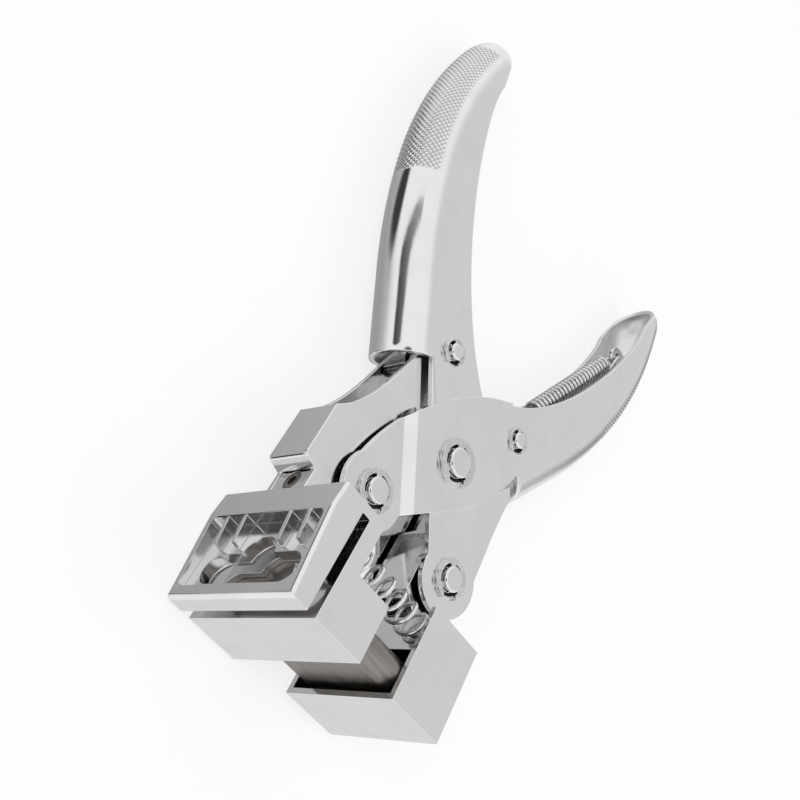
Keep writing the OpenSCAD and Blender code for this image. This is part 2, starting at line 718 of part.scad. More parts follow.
module main_pivot_pin() color(chrome) at_main() clip_pin(main_pin_d, bridge_out);
module main_pivot_clip() color(steel) at_main() retaining_clip(main_pin_d, bridge_out);
module main_pivot_sleeve() color(chrome) at_main() difference() {
    cylinder(d = sleeve_d, h = 2 * (lever_z - sleeve_play), center = true);
    cylinder(d = main_pin_d + 2 * pin_fit, h = far, center = true);
}
module die_jaw_pin() color(chrome) at_die_jaw() clip_pin(jaw_pin_d, lever_out);
module die_jaw_clip() color(steel) at_die_jaw() retaining_clip(jaw_pin_d, lever_out);
module punch_jaw_pin() color(chrome) at_punch_jaw() clip_pin(jaw_pin_d, lever_out);
module punch_jaw_clip() color(steel) at_punch_jaw() retaining_clip(jaw_pin_d, lever_out);
module die_slide_pin() color(chrome) at_die_slide() clip_pin(slide_pin_d, grip_out);
module die_slide_clip() color(steel) at_die_slide() retaining_clip(slide_pin_d, grip_out);
module punch_slide_pin() color(chrome) at_punch_slide() clip_pin(slide_pin_d, grip_out);
module punch_slide_clip() color(steel) at_punch_slide() retaining_clip(slide_pin_d, grip_out);

// Round wire swept along a list of points
function unit(v) = v / norm(v);
function wire_way(p, i) = unit(p[min(i + 1, len(p) - 1)] - p[max(i - 1, 0)]);
function wire_ring(p, i, r, sides, up) =
    let (t = wire_way(p, i), a = unit(up - (up * t) * t), b = cross(t, a))
    [for (k = [0 : sides - 1]) p[i] + r * (cos(360 * k / sides) * a + sin(360 * k / sides) * b)];
module wire(p, r, sides, up) {
    rings = len(p);
    last = (rings - 1) * sides;
    polyhedron(
        [for (i = [0 : rings - 1]) each wire_ring(p, i, r, sides, up)],
        concat(
            [for (i = [0 : rings - 2], k = [0 : sides - 1], half = [0, 1])
                let (a = i * sides + k, b = i * sides + (k + 1) % sides)
                half == 0 ? [a, b, b + sides] : [a, b + sides, a + sides]],
            [for (k = [1 : sides - 2]) [0, k + 1, k]],
            [for (k = [1 : sides - 2]) [last, last + k, last + k + 1]]));
}

// Least gap between turns, measured on points that are more than half a turn apart
function least_gap(p, apart, wire_d) =
    min([for (i = [0 : len(p) - 1 - apart]) min([for (j = [i + apart : min(i + 3 * apart, len(p) - 1)])
        norm(p[i] - p[j])])]) - wire_d;

// Jaw spring: even turns between the shelf and the seat, closer at both ends
function jaw_rise(turn) =
    turn < 1 ? turn * jaw_end_pitch
    : turn > jaw_turns - 1 ? jaw_spring_l - jaw_wire - (jaw_turns - turn) * jaw_end_pitch
    : jaw_end_pitch + (turn - 1) * jaw_mid_pitch;
function jaw_coil() = [for (i = [0 : jaw_turns * curl_rings])
    let (turn = i / curl_rings, a = 360 * turn)
    [jaw_coil_r * cos(a), jaw_wire / 2 + jaw_rise(turn), jaw_coil_r * sin(a)]];

module jaw_springs() color(steel) in_tool_frame() {
    echo(jaw_spring_least_gap = least_gap(jaw_coil(), curl_rings - 2, jaw_wire));
    for (side = [-1, 1]) translate([jaw_spring_x, seat_y, side * jaw_spring_z])
        wire(jaw_coil(), jaw_wire / 2, wire_sides, [0, 1, 0]);
}

// Handle spring: close turns between two hooks, along +X from its post to the lug
function post_hook() = [for (i = [0 : hook_steps])
    let (a = 90 + 180 * i / hook_steps) post_hook_r * [cos(a), sin(a), 0]];
function handle_coil() = [for (i = [0 : handle_turns * curl_rings])
    let (a = 360 * i / curl_rings)
    [handle_body_x + handle_pitch * i / curl_rings, -handle_coil_r * cos(a), handle_coil_r * sin(a)]];
function lug_hook() = [for (i = [0 : hook_steps])
    let (a = -90 + 180 * i / hook_steps)
    [lug_hook_x - lug_hook_l * (1 - sqrt(max(cos(a), 0))), 0, -lug_hook_w * sin(a)]];
function handle_spring_path() = concat(post_hook(), handle_coil(), lug_hook());

module handle_spring() color(steel) in_tool_frame() {
    echo(handle_spring_least_gap = least_gap(handle_coil(), curl_rings - 2, handle_wire));
    way = lug_point - post_at;
    translate([post_at.x, post_at.y, 0]) rotate(atan2(way.y, way.x))
        wire(handle_spring_path(), handle_wire / 2, wire_sides, [1, 0.03, 0.02]);
}

upper_frame();
die_block();
die_plate();
die_screw();
lower_frame();
punch_holder();
punch();
punch_screws();
holder_screw();
spring_post();
upper_handle();
lower_handle();
main_pivot_pin();
main_pivot_clip();
main_pivot_sleeve();
die_jaw_pin();
die_jaw_clip();
punch_jaw_pin();
punch_jaw_clip();
die_slide_pin();
die_slide_clip();
punch_slide_pin();
punch_slide_clip();
jaw_springs();
handle_spring();
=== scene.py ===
"""Hole punch pliers: the finish of every piece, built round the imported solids.

Metres. +X runs along the pliers to the handles, +Y from the punch to the die
and +Z along the pivot pins. Levers are shaped in their own frame, where s runs
along the lever from the main pivot and n towards its back, then turned open.
"""

import json
import math

import bpy
from mathutils import Matrix, Vector

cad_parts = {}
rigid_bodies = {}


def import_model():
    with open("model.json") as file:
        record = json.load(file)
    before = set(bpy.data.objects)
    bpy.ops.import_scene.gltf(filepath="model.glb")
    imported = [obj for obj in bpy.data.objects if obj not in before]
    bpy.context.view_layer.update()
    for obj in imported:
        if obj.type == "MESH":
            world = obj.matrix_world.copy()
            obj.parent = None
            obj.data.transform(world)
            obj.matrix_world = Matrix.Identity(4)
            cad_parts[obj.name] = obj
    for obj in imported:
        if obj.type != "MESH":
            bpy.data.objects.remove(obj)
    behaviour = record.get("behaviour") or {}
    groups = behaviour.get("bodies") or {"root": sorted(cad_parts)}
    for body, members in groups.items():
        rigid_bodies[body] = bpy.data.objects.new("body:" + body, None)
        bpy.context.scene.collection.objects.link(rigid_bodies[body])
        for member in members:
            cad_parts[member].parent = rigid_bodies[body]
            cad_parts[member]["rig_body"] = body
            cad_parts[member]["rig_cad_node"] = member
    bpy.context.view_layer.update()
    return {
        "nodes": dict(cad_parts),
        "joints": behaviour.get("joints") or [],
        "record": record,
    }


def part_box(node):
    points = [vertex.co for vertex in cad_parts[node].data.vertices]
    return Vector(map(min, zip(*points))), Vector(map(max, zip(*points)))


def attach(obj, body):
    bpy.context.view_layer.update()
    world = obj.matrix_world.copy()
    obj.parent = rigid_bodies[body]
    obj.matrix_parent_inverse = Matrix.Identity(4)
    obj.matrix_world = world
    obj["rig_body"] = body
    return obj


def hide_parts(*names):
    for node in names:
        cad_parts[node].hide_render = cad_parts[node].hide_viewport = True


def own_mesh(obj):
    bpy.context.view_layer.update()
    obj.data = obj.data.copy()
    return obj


bl_info = {
    "name": "Hole Punch Pliers",
    "version": (1, 0, 0),
    "blender": (4, 5, 0),
    "location": "View3D > Sidebar > Pliers",
    "description": "Chromed hole punch pliers with pressed levers and a slotted die block",
    "category": "Object",
}

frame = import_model()

MM = 0.001
SAME = 0.01 * MM
WELD = 0.002 * MM
WIRE_WELD = 0.001 * MM
ON_LEVEL = 1e-6
SPRING_LUG = Vector((102, -13.6)) * MM
PIN_PLACES = ("main_pivot", "die_jaw", "punch_jaw", "die_slide", "punch_slide")
PIN_HEAD_RIM = 1.4 * MM
# Width and fade of the painted shade ring round each pin.
PIN_RING_WIDTH = 0.75 * MM
PIN_RING_FADE = 0.3 * MM
JOINTS = {joint["name"]: joint for joint in frame["joints"]}
MAIN_PIVOT = Vector(JOINTS["handle_squeeze"]["pos_m"])
LINK = Vector(JOINTS["die_jaw_pivot"]["pos_m"]) - MAIN_PIVOT
LINK_R = LINK.length
OPEN_ANGLE = math.atan2(LINK.y, -LINK.x)
NODE_BODY = {
    node: body
    for body, nodes in frame["record"]["behaviour"]["bodies"].items()
    for node in nodes
}


def length(name, about, millimetres):
    """A length that a user may change."""
    return bpy.props.FloatProperty(
        name=name, description=about, default=millimetres * MM, unit="LENGTH", precision=5
    )


def angle(name, about, degrees):
    """An angle that a user may change."""
    return bpy.props.FloatProperty(
        name=name, description=about, default=math.radians(degrees), subtype="ANGLE"
    )


def colour(name, about, red, green, blue):
    """A colour that a user may change."""
    return bpy.props.FloatVectorProperty(
        name=name, description=about, default=(red, green, blue), min=0, max=1, subtype="COLOR"
    )


class LeverSizes(bpy.types.PropertyGroup):
    """Sizes of the two pressed levers."""

    half_width: length("Half width", "Middle plane to the outside of a lever's plates", 8.8)
    sheet: length("Sheet", "Thickness of the pressed steel", 1.5)
    corner: length("Corner", "Depth of the grip's rounded back, down to its flat sides", 8.2)
    rim: length("Rim", "Rounding of the cut edges", 0.22)
    mouth: length("Mouth", "Main pivot to the mouth of a grip, along the lever", 26)
    back: length("Back", "Lever line to the back of a grip at its mouth", 16.9)
    lean: angle("Lean", "Lean of the grip towards the lever line", 4.5)
    straight: length("Straight", "Straight length of a grip", 23.6)
    bend_radius: length("Bend radius", "Radius of the long bend of a grip", 135.5)
    bend: angle("Bend", "Turn of the long bend", 15)
    tip_radius: length("Tip radius", "Radius of the bend at the tip", 97)
    tip_bend: angle("Tip bend", "Turn of the bend at the tip, up to its nose", 26.2)
    tip_depth: length("Tip depth", "Depth of the grip's sides at its tip", 12.3)
    nose_rise: angle("Nose rise", "Rise of the grip's inner edge towards the end of its nose", 24)
    arm: length("Arm", "Radius of the round end of a lever", 9.6)
    waist: length("Waist", "Lever line to the front edge of its arm", 7.5)
    rise: length("Rise", "How far the bridge rises over the other lever", 1.65)
    knurl_start: length("Knurl start", "Mouth to the start of the knurling on the back", 49.4)
    knurl_pitch: length("Knurl pitch", "Spacing of the knurled diamonds", 1.6)
    knurl_depth: length("Knurl depth", "Depth of the knurled grooves", 0.24)


class SpringSizes(bpy.types.PropertyGroup):
    """Sizes of the two jaw springs and the handle spring."""

    jaw_diameter: length("Jaw spring", "Outer diameter of a jaw spring", 8)
    jaw_wire: length("Jaw wire", "Wire of a jaw spring", 1.1)
    jaw_turns: bpy.props.IntProperty(
        name="Jaw turns", description="Turns of a jaw spring", default=8, min=4, max=12
    )
    handle_diameter: length("Handle spring", "Outer diameter of the handle spring", 6.4)
    handle_wire: length("Handle wire", "Wire of the handle spring", 1.15)
    handle_turns: bpy.props.IntProperty(
        name="Handle turns", description="Turns of the handle spring", default=23, min=12, max=60
    )


class FinishColours(bpy.types.PropertyGroup):
    """Colours of the metals and of the stage."""

    chrome: colour("Chrome", "Plating of the levers, frames, pins and castings", 0.80, 0.80, 0.805)
    tool_steel: colour("Tool steel", "Ground steel of the punch and the screws", 0.30, 0.275, 0.255)
    clip_steel: colour("Clip steel", "Sprung steel of the clips", 0.72, 0.72, 0.72)
    spring_steel: colour("Spring wire", "Drawn wire of the springs", 0.78, 0.775, 0.77)
    floor: colour("Floor", "The pale floor that the pliers lie on", 0.86, 0.86, 0.86)


def deselect_all():
    """Leaves edit mode and selects nothing."""
    if bpy.context.object and bpy.context.object.mode != "OBJECT":
        bpy.ops.object.mode_set(mode="OBJECT")
    bpy.ops.object.select_all(action="DESELECT")


def leave_edit():
    """Goes back from edit mode to object mode."""
    bpy.ops.object.mode_set(mode="OBJECT")


def activate(obj):
    """Makes obj the one selected and active object."""
    deselect_all()
    obj.select_set(True)
    bpy.context.view_layer.objects.active = obj


def edit(obj, kind):
    """Opens obj in edit mode, where kind is the element that is selected."""
    activate(obj)
    bpy.ops.object.mode_set(mode="EDIT")
    bpy.ops.mesh.select_mode(type=kind)
    bpy.ops.mesh.select_all(action="SELECT")


def select_parts(obj, kind, numbers):
    """Opens obj in edit mode with only the edges or faces of these numbers selected."""
    edit(obj, kind)
    bpy.ops.mesh.select_all(action="DESELECT")
    bpy.ops.object.mode_set(mode="OBJECT")
    parts = {"EDGE": obj.data.edges, "FACE": obj.data.polygons}[kind]
    for number in numbers:
        parts[number].select = True
    bpy.ops.object.mode_set(mode="EDIT")


def bevel_edges(obj, numbers, width, segments):
    """Rounds the edges of these numbers."""
    select_parts(obj, "EDGE", numbers)
    bpy.ops.mesh.bevel(offset=width, segments=segments, affect="EDGES")
    leave_edit()


def cut_faces(obj, numbers, place, across):
    """Cuts the faces of these numbers along a plane."""
    select_parts(obj, "FACE", numbers)
    bpy.ops.mesh.bisect(plane_co=place, plane_no=across)
    leave_edit()


def same(one, other):
    """Whether two lengths are equal, but for rounding."""
    return abs(one - other) < SAME


def merge(obj, distance=WELD):
    """Welds what lies together in a mesh."""
    edit(obj, "VERT")
    bpy.ops.mesh.remove_doubles(threshold=distance)
    leave_edit()


def join(objects):
    """Joins several meshes into the first one."""
    deselect_all()
    for obj in objects:
        obj.select_set(True)
    bpy.context.view_layer.objects.active = objects[0]
    bpy.ops.object.join()
    return objects[0]


def modify(obj, kind, **settings):
    """Adds one modifier, sets it and applies it."""
    activate(obj)
    bpy.ops.object.modifier_add(type=kind)
    modifier = obj.modifiers[-1]
    for name, value in settings.items():
        setattr(modifier, name, value)
    bpy.ops.object.modifier_apply(modifier=modifier.name)


def round_edges(obj, width, segments, least):
    """Rounds the edges that turn by more than least degrees."""
    modify(
        obj,
        "BEVEL",
        width=width,
        segments=segments,
        limit_method="ANGLE",
        angle_limit=math.radians(least),
        use_clamp_overlap=False,
        miter_outer="MITER_ARC",
        face_strength_mode="FSTR_ALL",
    )


def shade_by_area(obj):
    """Shades flat faces flat and the rounded edges between them smooth."""
    activate(obj)
    bpy.ops.object.shade_smooth()
    modify(obj, "WEIGHTED_NORMAL", mode="FACE_AREA", use_face_influence=True, keep_sharp=True)


def soften_edges(obj, width, segments=2, least=40):
    """Rounds the sharp edges and shades the piece."""
    round_edges(obj, width, segments, least)
    shade_by_area(obj)


def face_outward(obj):
    """Turns every face of a closed mesh outwards."""
    edit(obj, "FACE")
    bpy.ops.mesh.normals_make_consistent(inside=False)
    leave_edit()


def shaped_grid(name, columns, rows, place):
    """A flat grid whose points are moved to place(column, row)."""
    deselect_all()
    bpy.ops.mesh.primitive_grid_add(x_subdivisions=columns, y_subdivisions=rows, size=2)
    obj = bpy.context.object
    obj.name = name
    for vertex in obj.data.vertices:
        column = round((vertex.co.x + 1) / 2 * columns)
        row = round((vertex.co.y + 1) / 2 * rows)
        vertex.co = place(column, row)
    return obj


def at_level(points, level):
    """Points seen from the side, set at one level."""
    return [Vector((point.x, point.y, level)) for point in points]


def outline(name, points):
    """A closed line through these points."""
    deselect_all()
    bpy.ops.mesh.primitive_circle_add(vertices=len(points), fill_type="NOTHING")
    obj = bpy.context.object
    obj.name = name
    for vertex, point in zip(obj.data.vertices, points):
        vertex.co = point
    return obj


def finish_piece(obj, name, material, body, slot, *nodes):
    """Names a piece, gives it its material, and has it ride and stand for its nodes."""
    obj.name = name
    obj.data.name = name
    obj.data.materials.clear()
    obj.data.materials.append(material)
    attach(obj, body)
    if nodes:
        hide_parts(*nodes)
    return obj


def softened_node(node, name, material, slot, width, segments=2, shape=None):
    """A copy of a solid with welded faces and rounded edges, which stands for it."""
    source = frame["nodes"][node]
    deselect_all()
    obj = source.copy()
    obj.data = source.data.copy()
    obj.parent = None
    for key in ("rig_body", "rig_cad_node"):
        if key in obj:
            del obj[key]
    bpy.context.scene.collection.objects.link(obj)
    obj.hide_render = False
    obj.hide_viewport = False
    merge(obj)
    edit(obj, "FACE")
    bpy.ops.mesh.dissolve_limited(angle_limit=math.radians(0.5))
    leave_edit()
    if shape:
        shape(obj)
    soften_edges(obj, width, segments)
    return finish_piece(obj, name, material, NODE_BODY[node], slot, node)


def ahead(heading):
    """Unit step along a heading."""
    return Vector((math.cos(heading), math.sin(heading)))


def left(heading):
    """Unit step to the left of a heading."""
    return Vector((-math.sin(heading), math.cos(heading)))


def cubic(points, steps):
    """Points along a cubic curve with these four control points."""
    a, b, c, d = (Vector(point) for point in points)
    shares = [step / steps for step in range(steps + 1)]
    return [
        (1 - t) ** 3 * a + 3 * t * (1 - t) ** 2 * b + 3 * t * t * (1 - t) * c + t**3 * d
        for t in shares
    ]


def arc(centre, radius, start, end, steps):
    """Points along an arc, from one angle in degrees to another."""
    turns = [math.radians(start + (end - start) * step / steps) for step in range(steps + 1)]
    return [Vector(centre) + radius * ahead(turn) for turn in turns]


def smooth_step(share):
    """Eases from 0 to 1."""
    share = min(max(share, 0), 1)
    return share * share * (3 - 2 * share)


class GripPath:
    """The line along the back of a grip, seen from the side in its lever's frame."""

    ROUNDING = 1e-9
    SLACK = 1e-7

    def __init__(self, sizes):
        self.legs = []
        point = Vector((sizes.mouth, sizes.back))
        heading = -sizes.lean
        self.legs.append((point, heading, sizes.straight, None))
        point = point + sizes.straight * ahead(heading)
        for radius, turn in ((sizes.bend_radius, sizes.bend), (sizes.tip_radius, sizes.tip_bend)):
            self.legs.append((point, heading, radius * turn, radius))
            point = point - radius * left(heading) + radius * left(heading - turn)
            heading -= turn
        self.total = sum(leg[2] for leg in self.legs)
        self.tip = point
        self.tip_heading = heading

    def at(self, run):
        """Point and heading after a run along the path."""
        for point, heading, leg, radius in self.legs:
            if run <= leg + self.ROUNDING:
                break
            run -= leg
        else:
            return self.tip, self.tip_heading
        if radius is None:
            return point + run * ahead(heading), heading
        turned = heading - run / radius
        return point - radius * left(heading) + radius * left(turned), turned

    def beside(self, place):
        """Run along the path and drop below it of a point seen from the side, or None."""
        before = 0
        for point, heading, leg, radius in self.legs:
            if radius is None:
                off = place - point
                run, drop = off.dot(ahead(heading)), -off.dot(left(heading))
            else:
                off = place - (point - radius * left(heading))
                run = radius * (heading + math.pi / 2 - math.atan2(off.y, off.x))
                drop = radius - off.length
            if -self.SLACK <= run <= leg + self.SLACK:
                return before + run, drop
            before += leg
        return None


class Lever:
    """A pressed lever: a channel for a grip, with a flat plate on each side."""

    GIRTH_STEPS = 52
    FINE = 0.2 * MM
    CROWN = 0.6
    COARSE = 2 * MM
    NOSE_STEPS = 18
    FADE = 1.2 * MM
    SIDE_BARE = 2.2 * MM
    SIDE_FADE = 2 * MM
    INNER_PULL = Vector((53.6, 0.7)) * MM
    INNER_END_RUN = 6 * MM
    INNER_END_PULL = 10 * MM
    NOSE_RIM = 0.5 * MM
    RIDGE = 0.9
    KNURL_REACH = 0.98
    NUDGE = 0.001 * MM
    SKIN = 0.003 * MM
    ARM_STEPS = 40
    RIM_STEPS = 2
    RIM_TURN = 55
    HOLES = (((-LINK_R, 0), 3.25 * MM), ((0, 0), 3.85 * MM), ((LINK_R, 0), 2.25 * MM))

    def __init__(self, sizes, inner_start):
        self.sizes = sizes
        self.path = GripPath(sizes)
        self.flat = sizes.half_width - sizes.corner
        profile = [self.profile(column) for column in range(self.GIRTH_STEPS + 1)]
        self.girths = [0.0]
        for first, second in zip(profile, profile[1:]):
            self.girths.append(self.girths[-1] + math.dist(first, second))
        self.inner_start = Vector(inner_start) * MM
        self.runs = self.row_runs()
        self.rows = [(*self.path.at(run), 0.0, run) for run in self.runs]
        for step in range(1, self.NOSE_STEPS + 1):
            turn = math.pi / 2 * step / self.NOSE_STEPS
            self.rows.append((self.path.tip, self.path.tip_heading, turn, self.path.total))

    def row_runs(self):
        """Runs along the path: wide steps on the plain back, fine ones on the knurling."""
        plain = self.sizes.knurl_start - self.FADE
        coarse = round(plain / self.COARSE)
        fine = round((self.path.total - plain) / self.FINE)
        step = (self.path.total - plain) / fine
        wide = [plain * i / coarse for i in range(coarse)]
        return wide + [plain + step * i for i in range(fine + 1)]

    def back_drop(self, lateral):
        """How far the crowned back has fallen, this far to the side of its middle."""
        sizes = self.sizes
        beyond = max(lateral - self.flat, 0)
        corner = sizes.corner - math.sqrt(max(sizes.corner**2 - beyond**2, 0))
        oval = sizes.corner * (1 - math.sqrt(max(1 - (lateral / sizes.half_width) ** 2, 0)))
        return self.CROWN * oval + (1 - self.CROWN) * corner

    def profile(self, column):
        """Side step and drop of a column of the back."""
        lateral = self.sizes.half_width * math.sin(math.pi / 2 * column / self.GIRTH_STEPS)
        return lateral, self.back_drop(lateral)

    def place(self, row, lateral, drop):
        """A point of a row, this far to the side and this far below the back."""
        point, heading, turn, _ = row
        along = point + lateral * math.sin(turn) * ahead(heading) - drop * left(heading)
        return Vector((along.x, along.y, lateral * math.cos(turn)))

    def groove(self, run, girth):
        """Depth of the knurling: two sets of crossing grooves, fading in and out."""
        sizes = self.sizes
        shown = smooth_step((run - sizes.knurl_start) / self.FADE)
        shown *= smooth_step((self.path.total - run) / self.FADE)
        shown *= smooth_step((self.girths[-1] - self.SIDE_BARE - girth) / self.SIDE_FADE)
        if shown == 0:
            return 0
        waves = []
        for side in (-1, 1):
            share = ((run + side * girth) / sizes.knurl_pitch) % 1
            waves.append(abs(2 * share - 1))
        return sizes.knurl_depth * shown * max(max(waves) * (1 + self.RIDGE) - self.RIDGE, 0)

    def back_point(self, column, row_index):
        """A point of the channel's back and corner."""
        row = self.rows[row_index]
        lateral, drop = self.profile(column)
        return self.place(row, lateral, drop * self.nose_share(row[2]))

    def press_knurl(self, obj):
        """Presses the knurling into the back, and marks its grooves and the grip's inside."""
        sizes = self.sizes
        reach = self.KNURL_REACH * sizes.half_width
        forward = ahead(self.path.tip_heading)
        upward = left(self.path.tip_heading)
        obj.data.attributes.new("groove", "FLOAT", "POINT")
        obj.data.attributes.new("inside", "FLOAT", "POINT")
        grooves = obj.data.attributes["groove"]
        insides = obj.data.attributes["inside"]
        for vertex in obj.data.vertices:
            place = Vector(vertex.co[:2])
            lateral = abs(vertex.co.z)
            found = self.path.beside(place)
            past_tip = (place - self.path.tip).dot(forward)
            if not found and past_tip > 0:
                lateral = math.hypot(lateral, past_tip)
                found = self.path.total, (self.path.tip - place).dot(upward)
            if not found or lateral >= reach:
                continue
            run, drop = found
            below = drop - self.back_drop(lateral)
            if below > sizes.sheet / 2:
                insides.data[vertex.index].value = 1
            if run < sizes.knurl_start - self.FADE:
                continue
            fall = self.back_drop(lateral + self.NUDGE) - self.back_drop(lateral)
            slope = fall / self.NUDGE
            if abs(below) > self.SKIN * (1 + slope):
                continue
            column = math.asin(lateral / sizes.half_width) / (math.pi / 2) * self.GIRTH_STEPS
            before = int(column)
            share = column - before
            girth = self.girths[before] * (1 - share) + self.girths[before + 1] * share
            _, heading = self.path.at(run)
            inward = -left(heading)
            side = -slope * math.copysign(1, vertex.co.z)
            way = Vector((inward.x, inward.y, side)).normalized()
            depth = self.groove(run, girth)
            vertex.co += depth * way
            # The groove share also carries the knurl's painted shade in the material.
            grooves.data[vertex.index].value = depth / sizes.knurl_depth

    def nose_row(self, step):
        """The row at a step round the nose, where step 0 is the tip's last straight row."""
        return self.rows[len(self.runs) - 1 + step]

    def skirt_point(self, column, step):
        """A point of the nose below its rounded corner."""
        row = self.nose_row(step)
        corner = self.sizes.corner * self.nose_share(row[2])
        drop = (corner, self.nose_depth(row[2]))[column]
        return self.place(row, self.sizes.half_width, drop)

    def nose_depth(self, turn):
        """Depth of the sides at a turn round the nose, where the inner edge rises."""
        run = self.INNER_END_RUN + self.sizes.half_width * math.sin(turn)
        return self.sizes.tip_depth - run * math.tan(self.sizes.nose_rise)

    def nose_share(self, turn):
        """How much of the rounded back's depth there is room for at a turn round the nose."""
        return min(1, (self.nose_depth(turn) - self.NOSE_RIM) / self.sizes.corner)

    def flange_edge(self):
        """The grip's inner edge, from the nose back to where the arm's plate starts."""
        turned = self.path.tip_heading
        end = self.path.tip - self.nose_depth(0) * left(turned)
        last = self.path.tip - self.sizes.tip_depth * left(turned)
        last = last - self.INNER_END_RUN * ahead(turned)
        before = last - self.INNER_END_PULL * ahead(turned)
        inner = cubic((self.inner_start, self.INNER_PULL, before, last), 30)
        return [end] + inner[::-1]

    def arm_end(self):
        """The round end of the arm, from its back to its front edge."""
        sizes = self.sizes
        side = math.degrees(math.asin(sizes.waist / sizes.arm))
        return arc((-LINK_R, 0), sizes.arm, 270, side, self.ARM_STEPS)

    def shell(self, arm_outline):
        """The near half of the outer skin: back, nose and the plate inside its outline."""
        sizes = self.sizes
        back = shaped_grid("lever_back", self.GIRTH_STEPS, len(self.rows) - 1, self.back_point)
        skirt = shaped_grid("lever_nose", 1, self.NOSE_STEPS, self.skirt_point)
        level = sizes.half_width
        corner_line = [self.back_point(self.GIRTH_STEPS, index) for index in range(len(self.runs))]
        plate = self.flange_edge() + arm_outline
        lines = [outline("plate_edge", corner_line + at_level(plate, level))]
        for centre, radius in self.HOLES:
            ring = arc(centre, radius, 0, 360, 64)[:-1]
            lines.append(outline("plate_hole", at_level(ring, level)))
        shell = join([back, skirt] + lines)
        merge(shell)
        faces_at = {}
        for polygon in shell.data.polygons:
            for key in polygon.edge_keys:
                faces_at[key] = faces_at.get(key, 0) + 1
        points = shell.data.vertices
        border = [
            edge.index
            for edge in shell.data.edges
            if faces_at.get(edge.key, 0) < 2
            and all(abs(points[index].co.z - level) < ON_LEVEL for index in edge.vertices)
        ]
        select_parts(shell, "EDGE", border)
        bpy.ops.mesh.fill(use_beauty=True)
        leave_edit()
        filled = [
            polygon.index
            for polygon in shell.data.polygons
            if abs(polygon.center.z - level) < ON_LEVEL
        ]
        select_parts(shell, "FACE", filled)
        bpy.ops.mesh.dissolve_limited(angle_limit=math.radians(0.1))
        bpy.ops.mesh.select_all(action="SELECT")
        bpy.ops.mesh.normals_make_consistent(inside=False)
        leave_edit()
        flat = max(shell.data.polygons, key=lambda polygon: polygon.area)
        if flat.normal.z < 0:
            edit(shell, "FACE")
            bpy.ops.mesh.flip_normals()
            leave_edit()
        return shell

    def thicken(self, shell):
        """Both halves of the skin, as sheet metal with rounded cut edges."""
        modify(shell, "MIRROR", use_axis=(False, False, True), merge_threshold=WELD)
        modify(shell, "SOLIDIFY", thickness=self.sizes.sheet, offset=-1, use_even_offset=True)
        round_edges(shell, self.sizes.rim, self.RIM_STEPS, self.RIM_TURN)
        self.press_knurl(shell)
        shade_by_area(shell)
        return shell


def turn_open(obj, upper):
    """Turns a lever from its own frame to its place on the main pivot."""
    turn = Matrix.Rotation(OPEN_ANGLE if upper else -OPEN_ANGLE, 4, "Z")
    if not upper:
        turn = turn @ Matrix.Rotation(math.pi, 4, "X")
    activate(obj)
    obj.matrix_world = Matrix.Translation(MAIN_PIVOT) @ turn
    bpy.ops.object.transform_apply(location=True, rotation=True, scale=True)


def millimetres(*points):
    """Points given in millimetres, as vectors in metres."""
    return [Vector(point) * MM for point in points]


class Value:
    """A socket that gives a number; sums written with it add Math nodes."""

    def __init__(self, finish, socket):
        self.finish = finish
        self.socket = socket

    def maths(self, operation, first, second):
        """A Math node on two values."""
        return self.finish.node("ShaderNodeMath", {"operation": operation}, {0: first, 1: second})

    def __add__(self, other):
        return self.maths("ADD", self, other)

    def __radd__(self, other):
        return self.maths("ADD", other, self)

    def __sub__(self, other):
        return self.maths("SUBTRACT", self, other)

    def __rsub__(self, other):
        return self.maths("SUBTRACT", other, self)

    def __mul__(self, other):
        return self.maths("MULTIPLY", self, other)

    def __rmul__(self, other):
        return self.maths("MULTIPLY", other, self)


class NodeTree:
    """A node tree that is put together one node at a time."""

    def __init__(self, tree):
        self.tree = tree
        self.tree.nodes.clear()

    def node(self, kind, settings=None, inputs=None, output=0):
        """Adds a node with its settings, then its values and links; gives one output."""
        node = self.tree.nodes.new(kind)
        for name, value in (settings or {}).items():
            setattr(node, name, value)
        for name, value in (inputs or {}).items():
            socket = self.find(node.inputs, name)
            if isinstance(value, Value):
                self.tree.links.new(value.socket, socket)
            else:
                socket.default_value = value
        return Value(self, self.find(node.outputs, output)) if len(node.outputs) else None

    @staticmethod
    def find(sockets, name):
        """The socket with this name, or in this place among those in use."""
        usable = [socket for socket in sockets if socket.enabled]
        if isinstance(name, int):
            return usable[name]
        return next(socket for socket in usable if socket.name == name)


